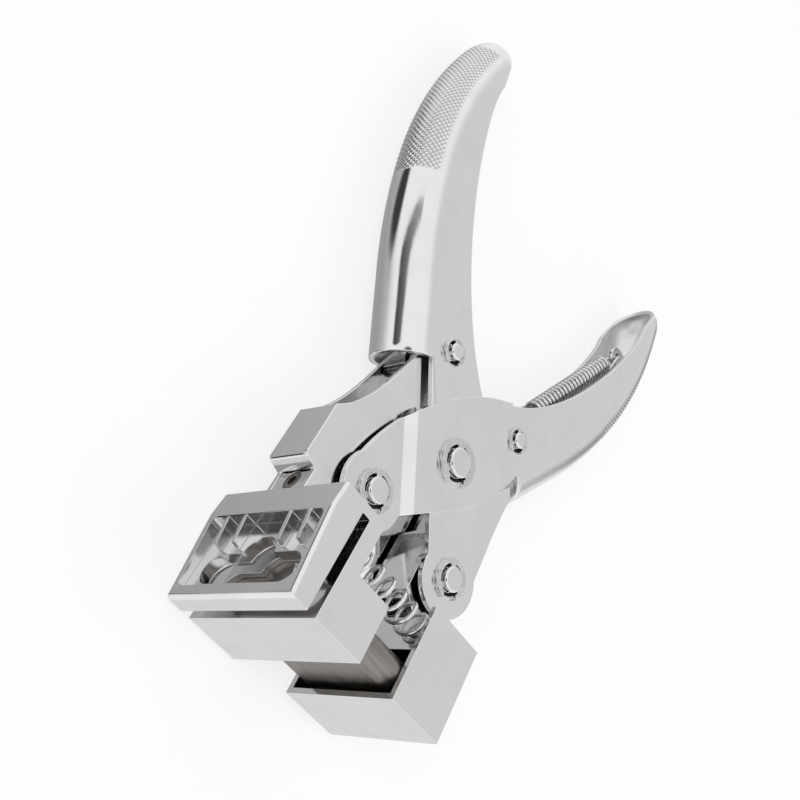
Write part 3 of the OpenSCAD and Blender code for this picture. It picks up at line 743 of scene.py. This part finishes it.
class Finish(NodeTree):
    """A metal's material, with the shared sources of its small faults."""

    def __init__(self, name):
        self.material = bpy.data.materials.new(name)
        self.material.use_nodes = True
        super().__init__(self.material.node_tree)
        self.place = self.node("ShaderNodeTexCoord", output="Object")

    @classmethod
    def on_tree(cls, tree, output):
        """The same tools on a tree that has no material."""
        finish = cls.__new__(cls)
        NodeTree.__init__(finish, tree)
        finish.place = finish.node("ShaderNodeTexCoord", output=output)
        return finish

    def noise(self, scale, detail=3, stretch=(1, 1, 1), turn=(0, 0, 0)):
        """Noise with a scale per metre, which may be stretched and turned."""
        place = self.node(
            "ShaderNodeMapping", None, {"Vector": self.place, "Scale": stretch, "Rotation": turn}
        )
        return self.node(
            "ShaderNodeTexNoise",
            {"noise_dimensions": "3D"},
            {"Vector": place, "Scale": scale, "Detail": detail, "Roughness": 0.6},
        )

    def between(self, value, low, high):
        """A mask that goes from 0 at low to 1 at high."""
        return self.node(
            "ShaderNodeMapRange",
            {"clamp": True, "interpolation_type": "SMOOTHSTEP"},
            {"Value": value, "From Min": low, "From Max": high, "To Min": 0.0, "To Max": 1.0},
        )

    def blend(self, mask, first, second):
        """A colour that goes from the first to the second where the mask is 1."""
        sides = [side if isinstance(side, Value) else (*side, 1) for side in (first, second)]
        return self.node(
            "ShaderNodeMix",
            {"data_type": "RGBA"},
            {"Factor": mask, "A": sides[0], "B": sides[1]},
        )

    def pin_ring_shade(self):
        """A mask of painted shade: a dark ring on the plates round each pin, which shows in the
        gaps of its clip.
        """
        flat = self.node(
            "ShaderNodeVectorMath", {"operation": "MULTIPLY"}, {0: self.place, 1: (1, 1, 0)}
        )
        rings = 0
        for name in PIN_PLACES:
            low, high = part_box(f"{name}_pin")
            centre = ((low.x + high.x) / 2, (low.y + high.y) / 2, 0)
            radius = (high.x - low.x) / 2 - PIN_HEAD_RIM + PIN_RING_WIDTH
            away = self.node(
                "ShaderNodeVectorMath", {"operation": "DISTANCE"}, {0: flat, 1: centre}, "Value"
            )
            rings = self.between(away, radius + PIN_RING_FADE, radius) + rings
        return rings

    def bump(self, height, distance):
        """A normal from a height in shares of a distance."""
        return self.node(
            "ShaderNodeBump", None, {"Height": height, "Distance": distance, "Strength": 1.0}
        )

    def metal(self, base, roughness, normal):
        """Ends the material as a metal."""
        shader = self.node(
            "ShaderNodeBsdfPrincipled",
            None,
            {"Base Color": base, "Metallic": 1.0, "Roughness": roughness, "Normal": normal},
        )
        self.node("ShaderNodeOutputMaterial", None, {"Surface": shader})
        return self.material


def shade(base, share):
    """A colour made darker or lighter."""
    return tuple(min(channel * share, 1) for channel in base)


def chrome_finish(name, base, low, high, peel, painted_shade=False):
    """Bright plating: smudges, faint polishing lines and a fine orange peel; with painted shade,
    also darkened knurl grooves and a near-black ring round each pin, and a rougher grip inside.
    """
    finish = Finish(name)
    smudge = finish.between(finish.noise(70, 4), 0.4, 0.72)
    lines = finish.between(finish.noise(500, 2, (0.05, 1, 1), (0.3, 0.2, 0.5)), 0.6, 0.75)
    grain = finish.noise(2600, 2)
    waves = finish.noise(160, 2)
    roughness = low + (high - low) * smudge + 0.03 * lines
    tone = finish.blend(smudge, base, shade(base, 0.95))
    if painted_shade:
        # Painted shade: the knurl's grooves are darkened towards half the plating's colour.
        groove = finish.node("ShaderNodeAttribute", {"attribute_name": "groove"}, output="Fac")
        tone = finish.blend(finish.between(groove, 0.15, 0.85), tone, shade(base, 0.5))
        inside = finish.node("ShaderNodeAttribute", {"attribute_name": "inside"}, output="Fac")
        roughness = roughness + 0.3 * inside
        # Painted shade: a near-black ring round each pin darkens the clip's gaps, and the plating
        # is rougher there.
        pin_ring_shade = finish.pin_ring_shade()
        tone = finish.blend(pin_ring_shade, tone, shade(base, 0.03))
        roughness = roughness + 0.3 * pin_ring_shade
    normal = finish.bump(waves + 0.12 * grain, peel)
    return finish.metal(tone, roughness, normal)


def steel_finish(name, base, roughness, stretch, scale):
    """Ground or drawn steel: fine lines along one way, and a faint stain."""
    finish = Finish(name)
    lines = finish.noise(scale, 3, stretch)
    stain = finish.between(finish.noise(220, 4), 0.35, 0.75)
    streaks = finish.between(lines, 0.3, 0.7) * 0.6 + 0.4 * stain
    tone = finish.blend(streaks, shade(base, 0.78), shade(base, 1.15))
    normal = finish.bump(lines, 0.02 * MM)
    return finish.metal(tone, roughness + 0.12 * stain, normal)


MATERIALS = {}


def material(name):
    """The finishes, each made once."""
    if not MATERIALS:
        colours = bpy.context.scene.pliers_colours
        chrome = tuple(colours.chrome)
        tool = tuple(colours.tool_steel)
        clip = tuple(colours.clip_steel)
        spring = tuple(colours.spring_steel)
        even = (1, 1, 1)
        MATERIALS.update(
            pressed_chrome=chrome_finish(
                "pressed_chrome", chrome, 0.08, 0.15, 0.02 * MM, painted_shade=True
            ),
            cast_chrome=chrome_finish("cast_chrome", chrome, 0.12, 0.2, 0.03 * MM),
            pin_chrome=chrome_finish("pin_chrome", shade(chrome, 0.97), 0.08, 0.16, 0.01 * MM),
            ground_steel=steel_finish("ground_steel", tool, 0.32, (1, 0.04, 1), 1800),
            screw_steel=steel_finish("screw_steel", shade(tool, 0.9), 0.3, even, 1500),
            clip_steel=steel_finish("clip_steel", clip, 0.2, even, 1400),
            spring_wire=steel_finish("spring_wire", spring, 0.18, even, 1200),
        )
    return MATERIALS[name]


class PLIERS_OT_upper_lever(bpy.types.Operator):
    """Presses the upper lever: its arm, its stop tab and its knurled grip."""

    bl_idname = "pliers.upper_lever"
    bl_label = "Upper lever"

    INNER_START = (19.2, -11.9)
    TAB = ((-5.4, -17), (-3, -24), (-6.6, -24), (-8.3, -22.3), (-14.7, -17.8))
    MOUTH_SETBACK = 0.4 * MM

    def execute(self, context):
        sizes = context.scene.pliers_levers
        lever = Lever(sizes, self.INNER_START)
        mouth = Vector((sizes.mouth - self.MOUTH_SETBACK, sizes.waist))
        edge = millimetres(*self.TAB) + lever.arm_end() + [mouth]
        obj = lever.thicken(lever.shell(edge))
        turn_open(obj, True)
        chrome = material("pressed_chrome")
        finish_piece(
            obj, "upper_lever_body", chrome, "upper_lever", "chromed_sheet", "upper_handle"
        )
        return {"FINISHED"}


class PLIERS_OT_lower_lever(bpy.types.Operator):
    """Presses the lower lever: its bridge over the upper lever, its grip and its spring lug."""

    bl_idname = "pliers.lower_lever"
    bl_label = "Lower lever"

    INNER_START = (28, -10)
    BACK = ((-28, -9.6), (-14, -16), (8, -18.5), (28, -10))
    FRONT = ((-22, 7.5), (-10, 9), (4, 14.5), (15, 10.3))
    MOUTH = (21.5, 10.2)
    SLOPES = (
        (-15.6 * MM, math.radians(22), 1, 2.8 * MM),
        (21.6 * MM, math.radians(32), -1, 1.4 * MM),
    )
    SPREAD = 0.15
    CUTS = (-SPREAD, 0.0, 0.15, 0.35, 0.5, 0.65, 0.85, 1.0, 1 + SPREAD)
    FLAT = 0.999
    LUG_RADIUS = 3 * MM
    LUG_HOLE = 1.1 * MM
    LUG_RIM = 0.2 * MM

    def raise_bridge(self, obj, sizes):
        """Cuts the plate across its two slopes and lifts what lies between them."""
        level = sizes.half_width
        for start, lean, way, ramp in self.SLOPES:
            across = ahead(lean)
            for share in self.CUTS:
                flat = [
                    polygon.index
                    for polygon in obj.data.polygons
                    if polygon.normal.z > self.FLAT and abs(polygon.center.z - level) < ON_LEVEL
                ]
                point = Vector((start, 0)) + way * ramp * (share - 1) * across
                cut_faces(obj, flat, (*point, 0), (*across, 0))
        for vertex in obj.data.vertices:
            if abs(vertex.co.z - level) > ON_LEVEL:
                continue
            lift = 1
            for start, lean, way, ramp in self.SLOPES:
                run = (Vector(vertex.co[:2]) - Vector((start, 0))).dot(ahead(lean))
                lift *= smooth_step((way * run / ramp + 1 + self.SPREAD) / (1 + 2 * self.SPREAD))
            vertex.co.z += sizes.rise * lift

    def spring_lug(self, lever, sizes):
        """The lug inside the grip that the handle spring hooks into."""
        run, drop = lever.path.beside(SPRING_LUG)
        _, heading = lever.path.at(run)
        root = SPRING_LUG + (drop - sizes.sheet / 2) * left(heading)
        side = self.LUG_RADIUS * ahead(heading)
        turned = math.degrees(heading)
        edge = arc(SPRING_LUG, self.LUG_RADIUS, turned - 180, turned, 24)
        edge += [root + side, root - side]
        hole = arc(SPRING_LUG, self.LUG_HOLE, 0, 360, 32)[:-1]
        lug = join([outline("lug_edge", at_level(edge, 0)), outline("lug_hole", at_level(hole, 0))])
        edit(lug, "EDGE")
        bpy.ops.mesh.fill(use_beauty=True)
        leave_edit()
        modify(lug, "SOLIDIFY", thickness=sizes.sheet, offset=0)
        face_outward(lug)
        soften_edges(lug, self.LUG_RIM)
        return lug

    def execute(self, context):
        sizes = context.scene.pliers_levers
        lever = Lever(sizes, self.INNER_START)
        back = cubic(millimetres(*self.BACK), 30)
        front = cubic(millimetres(*self.FRONT), 24)
        edge = back[-2:0:-1] + lever.arm_end() + front[1:] + millimetres(self.MOUTH)
        shell = lever.shell(edge)
        self.raise_bridge(shell, sizes)
        obj = join([lever.thicken(shell), self.spring_lug(lever, sizes)])
        turn_open(obj, False)
        chrome = material("pressed_chrome")
        finish_piece(
            obj, "lower_lever_body", chrome, "lower_lever", "chromed_sheet", "lower_handle"
        )
        return {"FINISHED"}


class PLIERS_OT_jaw_frames(bpy.types.Operator):
    """Rounds and plates the two sheet metal jaw frames."""

    bl_idname = "pliers.jaw_frames"
    bl_label = "Jaw frames"

    BROW_ROUND = 0.9 * MM
    BROW_STEPS = 4
    FRONT_LEAN = 0.9 * MM
    DIE_EDGE = 0.25 * MM
    PUNCH_EDGE = 0.15 * MM

    def clear_tongue(self, obj):
        """Lowers the plates beside the die block's tongue, and leans and rounds the front wall."""
        _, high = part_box("upper_frame")
        tongue_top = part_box("die_screw")[1].y
        points = [vertex.co.copy() for vertex in obj.data.vertices]
        brow = min(point.x for point in points if same(point.y, high.y))
        back = brow + bpy.context.scene.pliers_levers.sheet
        foot = min(point.y for point in points if same(point.x, back) and point.y > tongue_top)
        for vertex in obj.data.vertices:
            on_wall = same(vertex.co.x, brow) or same(vertex.co.x, back)
            if on_wall and same(vertex.co.y, foot):
                vertex.co.x -= self.FRONT_LEAN
        slopes = []
        lowered = []
        for edge in obj.data.edges:
            ends = [points[index] for index in edge.vertices]
            start, end = sorted(ends, key=lambda point: point.x)
            at_brow = same(end.x, brow) and same(end.y, high.y)
            if at_brow and start.x < brow - self.FRONT_LEAN and same(start.z, end.z):
                slopes.append(edge.index)
                lowered.append(start)
        if len(slopes) != 4:
            raise RuntimeError(f"upper frame: {len(slopes)} sloping edges beside the tongue")
        select_parts(obj, "EDGE", slopes)
        bpy.ops.mesh.subdivide(number_cuts=1)
        leave_edit()
        for start in lowered:
            halfway = (start + Vector((brow, high.y, start.z))) / 2
            for vertex in obj.data.vertices:
                if same(math.dist(vertex.co, halfway), 0):
                    vertex.co.xy = (brow - self.FRONT_LEAN, foot)
                elif same(math.dist(vertex.co, start), 0):
                    vertex.co.y = foot
        merge(obj, SAME)
        points = [vertex.co for vertex in obj.data.vertices]
        edges = [
            edge.index
            for edge in obj.data.edges
            if all(
                same(points[index].x, brow) and same(points[index].y, high.y)
                for index in edge.vertices
            )
        ]
        bevel_edges(obj, edges, self.BROW_ROUND, self.BROW_STEPS)

    def execute(self, context):
        for node, name, width, shape in (
            ("upper_frame", "die_jaw_frame", self.DIE_EDGE, self.clear_tongue),
            ("lower_frame", "punch_jaw_frame", self.PUNCH_EDGE, None),
        ):
            chrome = material("pressed_chrome")
            softened_node(node, name, chrome, "chromed_sheet", width, shape=shape)
        return {"FINISHED"}


class PLIERS_OT_castings(bpy.types.Operator):
    """Rounds and plates the die block and the punch holder."""

    bl_idname = "pliers.castings"
    bl_label = "Die block and punch holder"

    EDGE = 0.12 * MM
    RIM_ROUND = 0.9 * MM
    RIM_STEPS = 3
    FRONT_STRETCH = 1.8
    WINDOW_ROUND = 1.6 * MM
    WINDOW_STEPS = 6
    SEAT_FIT = 0.1 * MM
    ALONG = 0.9
    FACING = 0.99

    def bend_rim(self, obj, edges, depth, inward):
        """Cuts the flat face below a rim at a few depths and bends it inwards up to the rim."""
        outside = edges[0][0].dot(inward)
        lines = []
        for start, end in edges:
            down = inward.cross(end - start).normalized()
            lines.append((start, down if down.y < 0 else -down))
        for start, down in lines:
            for step in range(self.RIM_STEPS):
                cut = start + depth * (1 - math.sin(math.pi / 2 * step / self.RIM_STEPS)) * down
                faces = [
                    face.index
                    for face in obj.data.polygons
                    if face.normal.dot(inward) < -self.FACING
                    and same(face.center.dot(inward), outside)
                ]
                cut_faces(obj, faces, cut, down)
        for vertex in obj.data.vertices:
            below = min((vertex.co - start).dot(down) for start, down in lines)
            if same(vertex.co.dot(inward), outside) and below < depth:
                rise = 1 - max(below, 0) / depth
                vertex.co += self.RIM_ROUND * (1 - math.sqrt(1 - rise * rise)) * inward

    def round_die_block(self, obj):
        """Rounds the front plate's outer rim and the window's corners."""
        low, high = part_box("die_block")
        window_low, window_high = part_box("die_plate")
        points = [vertex.co.copy() for vertex in obj.data.vertices]
        rims = {"front": [], "near": [], "far": []}
        corners = []
        for edge in obj.data.edges:
            ends = [points[index] for index in edge.vertices]
            ends.sort(key=lambda point: (point.x, point.z))
            middle = (ends[0] + ends[1]) / 2
            along = (ends[1] - ends[0]).normalized()
            if middle.y > window_high.y:
                if same(middle.x, low.x) and abs(along.z) > self.ALONG:
                    rims["front"].append(ends)
                elif same(abs(middle.z), high.z) and abs(along.x) > self.ALONG:
                    rims["near" if middle.z > 0 else "far"].append(ends)
            beside = abs(abs(middle.z) - window_high.z) < self.SEAT_FIT
            to_end = min(abs(middle.x - window_low.x), abs(middle.x - window_high.x))
            if abs(along.y) > self.ALONG and beside and to_end < self.SEAT_FIT:
                corners.append(edge.index)
        found = {name: len(edges) for name, edges in rims.items()}
        if len(corners) != 4 or min(found.values()) < 1:
            raise RuntimeError(f"die block: {found} rim edges, {len(corners)} window corners")
        bevel_edges(obj, corners, self.WINDOW_ROUND, self.WINDOW_STEPS)
        self.bend_rim(obj, rims["near"], self.RIM_ROUND, Vector((0, 0, -1)))
        self.bend_rim(obj, rims["far"], self.RIM_ROUND, Vector((0, 0, 1)))
        self.bend_rim(obj, rims["front"], self.RIM_ROUND * self.FRONT_STRETCH, Vector((1, 0, 0)))

    def execute(self, context):
        for node, name, shape in (
            ("die_block", "die_block_casting", self.round_die_block),
            ("punch_holder", "punch_holder_casting", None),
        ):
            chrome = material("cast_chrome")
            softened_node(node, name, chrome, "chromed_casting", self.EDGE, shape=shape)
        return {"FINISHED"}


class PLIERS_OT_cutting_parts(bpy.types.Operator):
    """Grinds the punch and the die plate."""

    bl_idname = "pliers.cutting_parts"
    bl_label = "Punch and die plate"

    PUNCH_EDGE = 0.08 * MM
    DIE_EDGE = 0.12 * MM

    def execute(self, context):
        ground = material("ground_steel")
        softened_node("punch", "hat_punch", ground, "tool_steel", self.PUNCH_EDGE)
        chrome = material("cast_chrome")
        softened_node("die_plate", "hat_die_plate", chrome, "tool_steel", self.DIE_EDGE)
        return {"FINISHED"}


class PLIERS_OT_pins(bpy.types.Operator):
    """Rounds and plates the five pins and the sleeve, and the clips that hold them."""

    bl_idname = "pliers.pins"
    bl_label = "Pins and clips"

    PIN_EDGE = 0.15 * MM
    CLIP_EDGE = 0.12 * MM
    SLEEVE_EDGE = 0.2 * MM

    def execute(self, context):
        chrome = material("pin_chrome")
        steel = material("clip_steel")
        for place in PIN_PLACES:
            softened_node(f"{place}_pin", f"{place}_rivet", chrome, "chrome", self.PIN_EDGE)
            softened_node(f"{place}_clip", f"{place}_retainer", steel, "clip_steel", self.CLIP_EDGE)
        softened_node("main_pivot_sleeve", "main_pivot_bush", chrome, "chrome", self.SLEEVE_EDGE)
        return {"FINISHED"}


class PLIERS_OT_screws(bpy.types.Operator):
    """Rounds the screws of the jaws and the post of the handle spring."""

    bl_idname = "pliers.screws"
    bl_label = "Screws and spring post"

    EDGE = 0.12 * MM

    def execute(self, context):
        for node, name in (
            ("die_screw", "die_block_screw"),
            ("holder_screw", "punch_holder_screw"),
            ("punch_screws", "punch_fixing_screws"),
            ("spring_post", "handle_spring_post"),
        ):
            softened_node(node, name, material("screw_steel"), "tool_steel", self.EDGE)
        return {"FINISHED"}


def wire_piece(name, points, wire, place):
    """A round wire along these points, with closed ends, as a mesh in its place."""
    deselect_all()
    bpy.ops.curve.primitive_nurbs_path_add(radius=1)
    obj = bpy.context.object
    obj.name = name
    curve = obj.data
    curve.splines.clear()
    spline = curve.splines.new("POLY")
    spline.points.add(len(points) - 1)
    for knot, point in zip(spline.points, points):
        knot.co = (*(place @ point), 1)
    curve.dimensions = "3D"
    curve.twist_mode = "MINIMUM"
    curve.bevel_depth = wire / 2
    curve.bevel_resolution = 3
    curve.use_fill_caps = True
    activate(obj)
    bpy.ops.object.convert(target="MESH")
    obj = bpy.context.object
    merge(obj, WIRE_WELD)
    face_outward(obj)
    activate(obj)
    bpy.ops.object.shade_smooth_by_angle(angle=math.radians(50))
    return obj


class PLIERS_OT_springs(bpy.types.Operator):
    """Winds the two jaw springs and the handle spring with its hooks."""

    bl_idname = "pliers.springs"
    bl_label = "Springs"

    TURN_STEPS = 24
    END_GAP = 0.3 * MM
    HANDLE_PITCH = 1.89 * MM
    LUG_INSET = 0.6 * MM
    EYE_STEPS = 14
    EYE_DEPTH = 2.4 * MM
    EYE_HALF = 2.3 * MM
    EYE_LEAVE = Vector((1, 0, 1.6)) * MM
    EYE_ENTER = Vector((2, 0, 0)) * MM
    POST_GAP = 0.1 * MM
    LOOP_STEPS = 20
    LOOP_START = 60
    LOOP_SWEEP = 240
    LOOP_LEAVE = Vector((2, 1.2, 0)) * MM
    SHANK_ENTER = Vector((4, 0, 0)) * MM
    SHANK_JOIN = Vector((7, 0, 0)) * MM
    SHANK_END = Vector((20, 0, 0)) * MM

    def jaw_coil(self, sizes, low, high):
        """Points of a compression spring between two heights, closer at both ends."""
        radius = (sizes.jaw_diameter - sizes.jaw_wire) / 2
        end_pitch = sizes.jaw_wire + self.END_GAP
        body = high - low - sizes.jaw_wire
        middle = (body - 2 * end_pitch) / (sizes.jaw_turns - 2)
        foot = low + sizes.jaw_wire / 2
        points = []
        for step in range(sizes.jaw_turns * self.TURN_STEPS + 1):
            turn = step / self.TURN_STEPS
            first = min(turn, 1) * end_pitch
            last = max(turn - (sizes.jaw_turns - 1), 0) * end_pitch
            rise = first + last + min(max(turn - 1, 0), sizes.jaw_turns - 2) * middle
            around = 2 * math.pi * turn
            points.append(
                Vector((radius * math.cos(around), foot + rise, radius * math.sin(around)))
            )
        return points

    def make_jaw_springs(self, sizes):
        """Both jaw springs, wound over the height of the solid that they stand for."""
        low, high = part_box("jaw_springs")
        wire = material("spring_wire")
        for name, z in (
            ("jaw_spring_near", high.z - sizes.jaw_diameter / 2),
            ("jaw_spring_far", low.z + sizes.jaw_diameter / 2),
        ):
            place = Matrix.Translation(((low.x + high.x) / 2, 0, z))
            coil = self.jaw_coil(sizes, low.y, high.y)
            obj = wire_piece(name, coil, sizes.jaw_wire, place)
            finish_piece(obj, name, wire, "die_jaw", "spring_wire", "jaw_springs")
            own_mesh(obj)

    def handle_coil(self, sizes, span):
        """Points of the coil and of the eye at its far end, along X."""
        radius = (sizes.handle_diameter - sizes.handle_wire) / 2
        body = sizes.handle_turns * self.HANDLE_PITCH
        start = (span - body) / 2
        coil = []
        for step in range(sizes.handle_turns * self.TURN_STEPS + 1):
            turn = step / self.TURN_STEPS
            around = 2 * math.pi * turn
            run = start + body * turn / sizes.handle_turns
            coil.append(Vector((run, -radius * math.cos(around), radius * math.sin(around))))
        end = span - self.LUG_INSET
        eye = []
        for step in range(self.EYE_STEPS + 1):
            around = -math.pi / 2 + math.pi * step / self.EYE_STEPS
            reach = end - self.EYE_DEPTH * (1 - math.sqrt(max(math.cos(around), 0)))
            eye.append(Vector((reach, 0, -self.EYE_HALF * math.sin(around))))
        lead = cubic((coil[-1], coil[-1] + self.EYE_LEAVE, eye[0] - self.EYE_ENTER, eye[0]), 10)
        return coil + lead[1:-1] + eye

    def post_hook(self, bend):
        """Points of the hook round the post and of its shank, which slides in the coil."""
        turns = [
            math.radians(self.LOOP_START + self.LOOP_SWEEP * step / self.LOOP_STEPS)
            for step in range(self.LOOP_STEPS + 1)
        ]
        loop = [Vector((bend * math.cos(turn), bend * math.sin(turn), 0)) for turn in turns]
        pulls = (loop[-1], loop[-1] + self.LOOP_LEAVE, self.SHANK_ENTER, self.SHANK_JOIN)
        return loop + cubic(pulls, 10)[1:] + [self.SHANK_END]

    def make_handle_spring(self, sizes):
        """The handle spring's coil on the lower lever, and its hook on the punch jaw's post."""
        low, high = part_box("spring_post")
        post = (low + high) / 2
        lug_at = Vector((SPRING_LUG.x, -SPRING_LUG.y, 0))
        way = MAIN_PIVOT + Matrix.Rotation(-OPEN_ANGLE, 3, "Z") @ lug_at - post
        place = Matrix.Translation(post) @ Matrix.Rotation(math.atan2(way.y, way.x), 4, "Z")
        wire = sizes.handle_wire
        bend = (high.x - low.x + wire) / 2 + self.POST_GAP
        for name, points, body in (
            ("handle_spring_coil", self.handle_coil(sizes, way.length), "lower_lever"),
            ("handle_spring_hook", self.post_hook(bend), "punch_jaw"),
        ):
            obj = wire_piece(name, points, wire, place)
            finish = material("spring_wire")
            finish_piece(obj, name, finish, body, "spring_wire", "handle_spring")

    def execute(self, context):
        sizes = context.scene.pliers_springs
        self.make_jaw_springs(sizes)
        self.make_handle_spring(sizes)
        return {"FINISHED"}


class PLIERS_OT_stage(bpy.types.Operator):
    """Lays the floor, hangs the soft lamps, lights the studio and sets the camera."""

    bl_idname = "pliers.stage"
    bl_label = "Stage, lamps and camera"

    FLOOR_RADIUS = 2.5
    FLOOR_GAP = 0.05 * MM
    FLOOR_WHITE = 0.75
    BLOCK_INSET = 8 * MM
    TIP_INSET = 10 * MM
    LAMP_TARGET = (0.06, -0.01, 0)
    LAMPS = (
        ("key_lamp", (-0.25, 0.55, 0.75), 0.5, 3),
        ("fill_lamp", (0.1, -0.5, 0.9), 0.6, 2),
    )
    LEVEL = 0.8
    DUSK = 0.6
    DUSK_HEIGHTS = (-0.15, -0.87)
    # Soft patches of the studio that the chrome mirrors, in degrees and a level:
    # azimuth, elevation, radius of the even middle, radius of the faded edge, level.
    FLAGS = (
        (-137, -42, 12, 45, 0.8),
        (-52, 2, 8, 26, 0.36),
        (-45, 36, 12, 40, 0.74),
        (185, -50, 10, 30, 1.0),
        (131, -50, 6, 13, 0.06),
        (76, -30, 8, 17, 0.05),
        (131, 50, 6, 17, 0.1),
    )
    # A row of such patches from the first to the last, the dark streak on a grip's back.
    STREAK = ((102, 7, 5, 12, 0.05), (74, 41, 1, 4, 0.4))
    STREAK_STEPS = 7
    CAMERA_AT = (-0.095716, 0.115959, 0.176727)
    CAMERA_RIGHT = (0.36603, -0.50120, 0.78411)
    CAMERA_UP = (0.71966, 0.68665, 0.10297)
    CAMERA_BACK = (-0.59002, 0.52660, 0.61202)
    SENSOR = 36
    LENS = 48.43
    SHIFT = (-0.107, 0.0459)
    CLIP_START = 0.01

    def floor(self, shade_of_floor):
        """A pale floor below the die block's side and the upper grip's tip."""
        deselect_all()
        bpy.ops.mesh.primitive_circle_add(
            vertices=96, radius=self.FLOOR_RADIUS, fill_type="NGON"
        )
        obj = bpy.context.object
        obj.name = "floor"
        low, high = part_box("die_block")
        grip_low, grip_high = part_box("upper_handle")
        tilt = math.atan2(grip_low.z - low.z, grip_high.x - self.TIP_INSET - high.x)
        edge = Vector((high.x - self.BLOCK_INSET, 0, low.z - self.FLOOR_GAP))
        obj.matrix_world = Matrix.Translation(edge) @ Matrix.Rotation(-tilt, 4, "Y")
        bpy.ops.object.transform_apply(location=True, rotation=True, scale=True)
        finish = Finish("pale_floor")
        seen = finish.node("ShaderNodeLightPath", output="Is Camera Ray")
        matte = finish.node(
            "ShaderNodeBsdfDiffuse", None, {"Color": (*shade_of_floor, 1), "Roughness": 0.5}
        )
        white = finish.node("ShaderNodeEmission", None, {"Color": (1, 1, 1, 1), "Strength": 1.0})
        mixed = finish.node(
            "ShaderNodeMixShader", None, {0: seen * self.FLOOR_WHITE, 1: matte, 2: white}
        )
        finish.node("ShaderNodeOutputMaterial", None, {"Surface": mixed})
        obj.data.materials.append(finish.material)
        obj.visible_glossy = False

    def lamp(self, name, place, size, watts):
        """A round soft lamp that the metal doesn't mirror."""
        deselect_all()
        bpy.ops.object.light_add(type="AREA", location=place)
        obj = bpy.context.object
        obj.name = name
        obj.data.shape = "DISK"
        obj.data.size = size
        obj.data.energy = watts
        obj.visible_glossy = False
        aim = Vector(self.LAMP_TARGET) - Vector(place)
        obj.rotation_euler = aim.to_track_quat("-Z", "Y").to_euler()

    def world(self, scene):
        """A white studio, with the grey cards and flags that the chrome reflects."""
        world = bpy.data.worlds.new("studio")
        world.use_nodes = True
        scene.world = world
        tree = Finish.on_tree(world.node_tree, "Generated")
        height = tree.node("ShaderNodeSeparateXYZ", None, {0: tree.place}, "Z")
        seen = tree.node("ShaderNodeLightPath", output="Is Camera Ray")
        mirrored = tree.node("ShaderNodeLightPath", output="Is Glossy Ray")
        light = self.LEVEL + (1 - self.LEVEL) * (seen + mirrored)
        unseen = 1 - seen
        light = light - unseen * self.DUSK * tree.between(height, *self.DUSK_HEIGHTS)
        first, last = self.STREAK
        shares = [step / self.STREAK_STEPS for step in range(self.STREAK_STEPS + 1)]
        streak = [[a + (b - a) * share for a, b in zip(first, last)] for share in shares]
        for azimuth, elevation, inner, outer, level in (*self.FLAGS, *streak):
            lift = Matrix.Rotation(-math.radians(elevation), 3, "Y")
            turn = Matrix.Rotation(math.radians(azimuth), 3, "Z")
            facing = tree.node(
                "ShaderNodeVectorMath",
                {"operation": "DOT_PRODUCT"},
                {0: tree.place, 1: turn @ lift @ Vector((1, 0, 0))},
                "Value",
            )
            edges = [math.cos(math.radians(radius)) for radius in (outer, inner)]
            light = light + unseen * tree.between(facing, *edges) * (level - light)
        sky = tree.node("ShaderNodeBackground", None, {"Color": (1, 1, 1, 1), "Strength": light})
        tree.node("ShaderNodeOutputWorld", None, {"Surface": sky})

    def camera(self, scene):
        """The camera, at the photograph's viewing angle."""
        deselect_all()
        bpy.ops.object.camera_add()
        obj = bpy.context.object
        obj.name = "photo_camera"
        columns = [Vector(axis) for axis in (self.CAMERA_RIGHT, self.CAMERA_UP, self.CAMERA_BACK)]
        turn = Matrix(columns).transposed().to_4x4()
        obj.matrix_world = Matrix.Translation(self.CAMERA_AT) @ turn
        obj.data.sensor_width = self.SENSOR
        obj.data.lens = self.LENS
        obj.data.shift_x, obj.data.shift_y = self.SHIFT
        obj.data.clip_start = self.CLIP_START
        scene.camera = obj

    def execute(self, context):
        scene = context.scene
        scene.view_settings.view_transform = "Standard"
        self.floor(tuple(scene.pliers_colours.floor))
        for lamp in self.LAMPS:
            self.lamp(*lamp)
        self.world(scene)
        self.camera(scene)
        return {"FINISHED"}


class PLIERS_PT_panel(bpy.types.Panel):
    """Lists the sizes, the colours and the steps."""

    bl_idname = "PLIERS_PT_panel"
    bl_label = "Hole Punch Pliers"
    bl_space_type = "VIEW_3D"
    bl_region_type = "UI"
    bl_category = "Pliers"

    def draw(self, context):
        scene = context.scene
        for group in (scene.pliers_levers, scene.pliers_springs, scene.pliers_colours):
            box = self.layout.box()
            for name in group.__annotations__:
                box.prop(group, name)
        for operator in OPERATORS:
            self.layout.operator(operator.bl_idname)


GROUPS = {
    "pliers_levers": LeverSizes,
    "pliers_springs": SpringSizes,
    "pliers_colours": FinishColours,
}
OPERATORS = (
    PLIERS_OT_stage,
    PLIERS_OT_upper_lever,
    PLIERS_OT_lower_lever,
    PLIERS_OT_jaw_frames,
    PLIERS_OT_castings,
    PLIERS_OT_cutting_parts,
    PLIERS_OT_pins,
    PLIERS_OT_screws,
    PLIERS_OT_springs,
)


def register():
    """Adds the classes and the groups of sizes and colours."""
    for group in GROUPS.values():
        bpy.utils.register_class(group)
    for operator in OPERATORS:
        bpy.utils.register_class(operator)
    bpy.utils.register_class(PLIERS_PT_panel)
    for name, group in GROUPS.items():
        setattr(bpy.types.Scene, name, bpy.props.PointerProperty(type=group))


def unregister():
    """Takes them away again."""
    for name in GROUPS:
        delattr(bpy.types.Scene, name)
    bpy.utils.unregister_class(PLIERS_PT_panel)
    for operator in OPERATORS:
        bpy.utils.unregister_class(operator)
    for group in GROUPS.values():
        bpy.utils.unregister_class(group)


def main():
    """Makes every piece and the stage."""
    register()
    for operator in OPERATORS:
        family, name = operator.bl_idname.split(".")
        getattr(getattr(bpy.ops, family), name)()
    deselect_all()


if __name__ == "__main__":
    main()
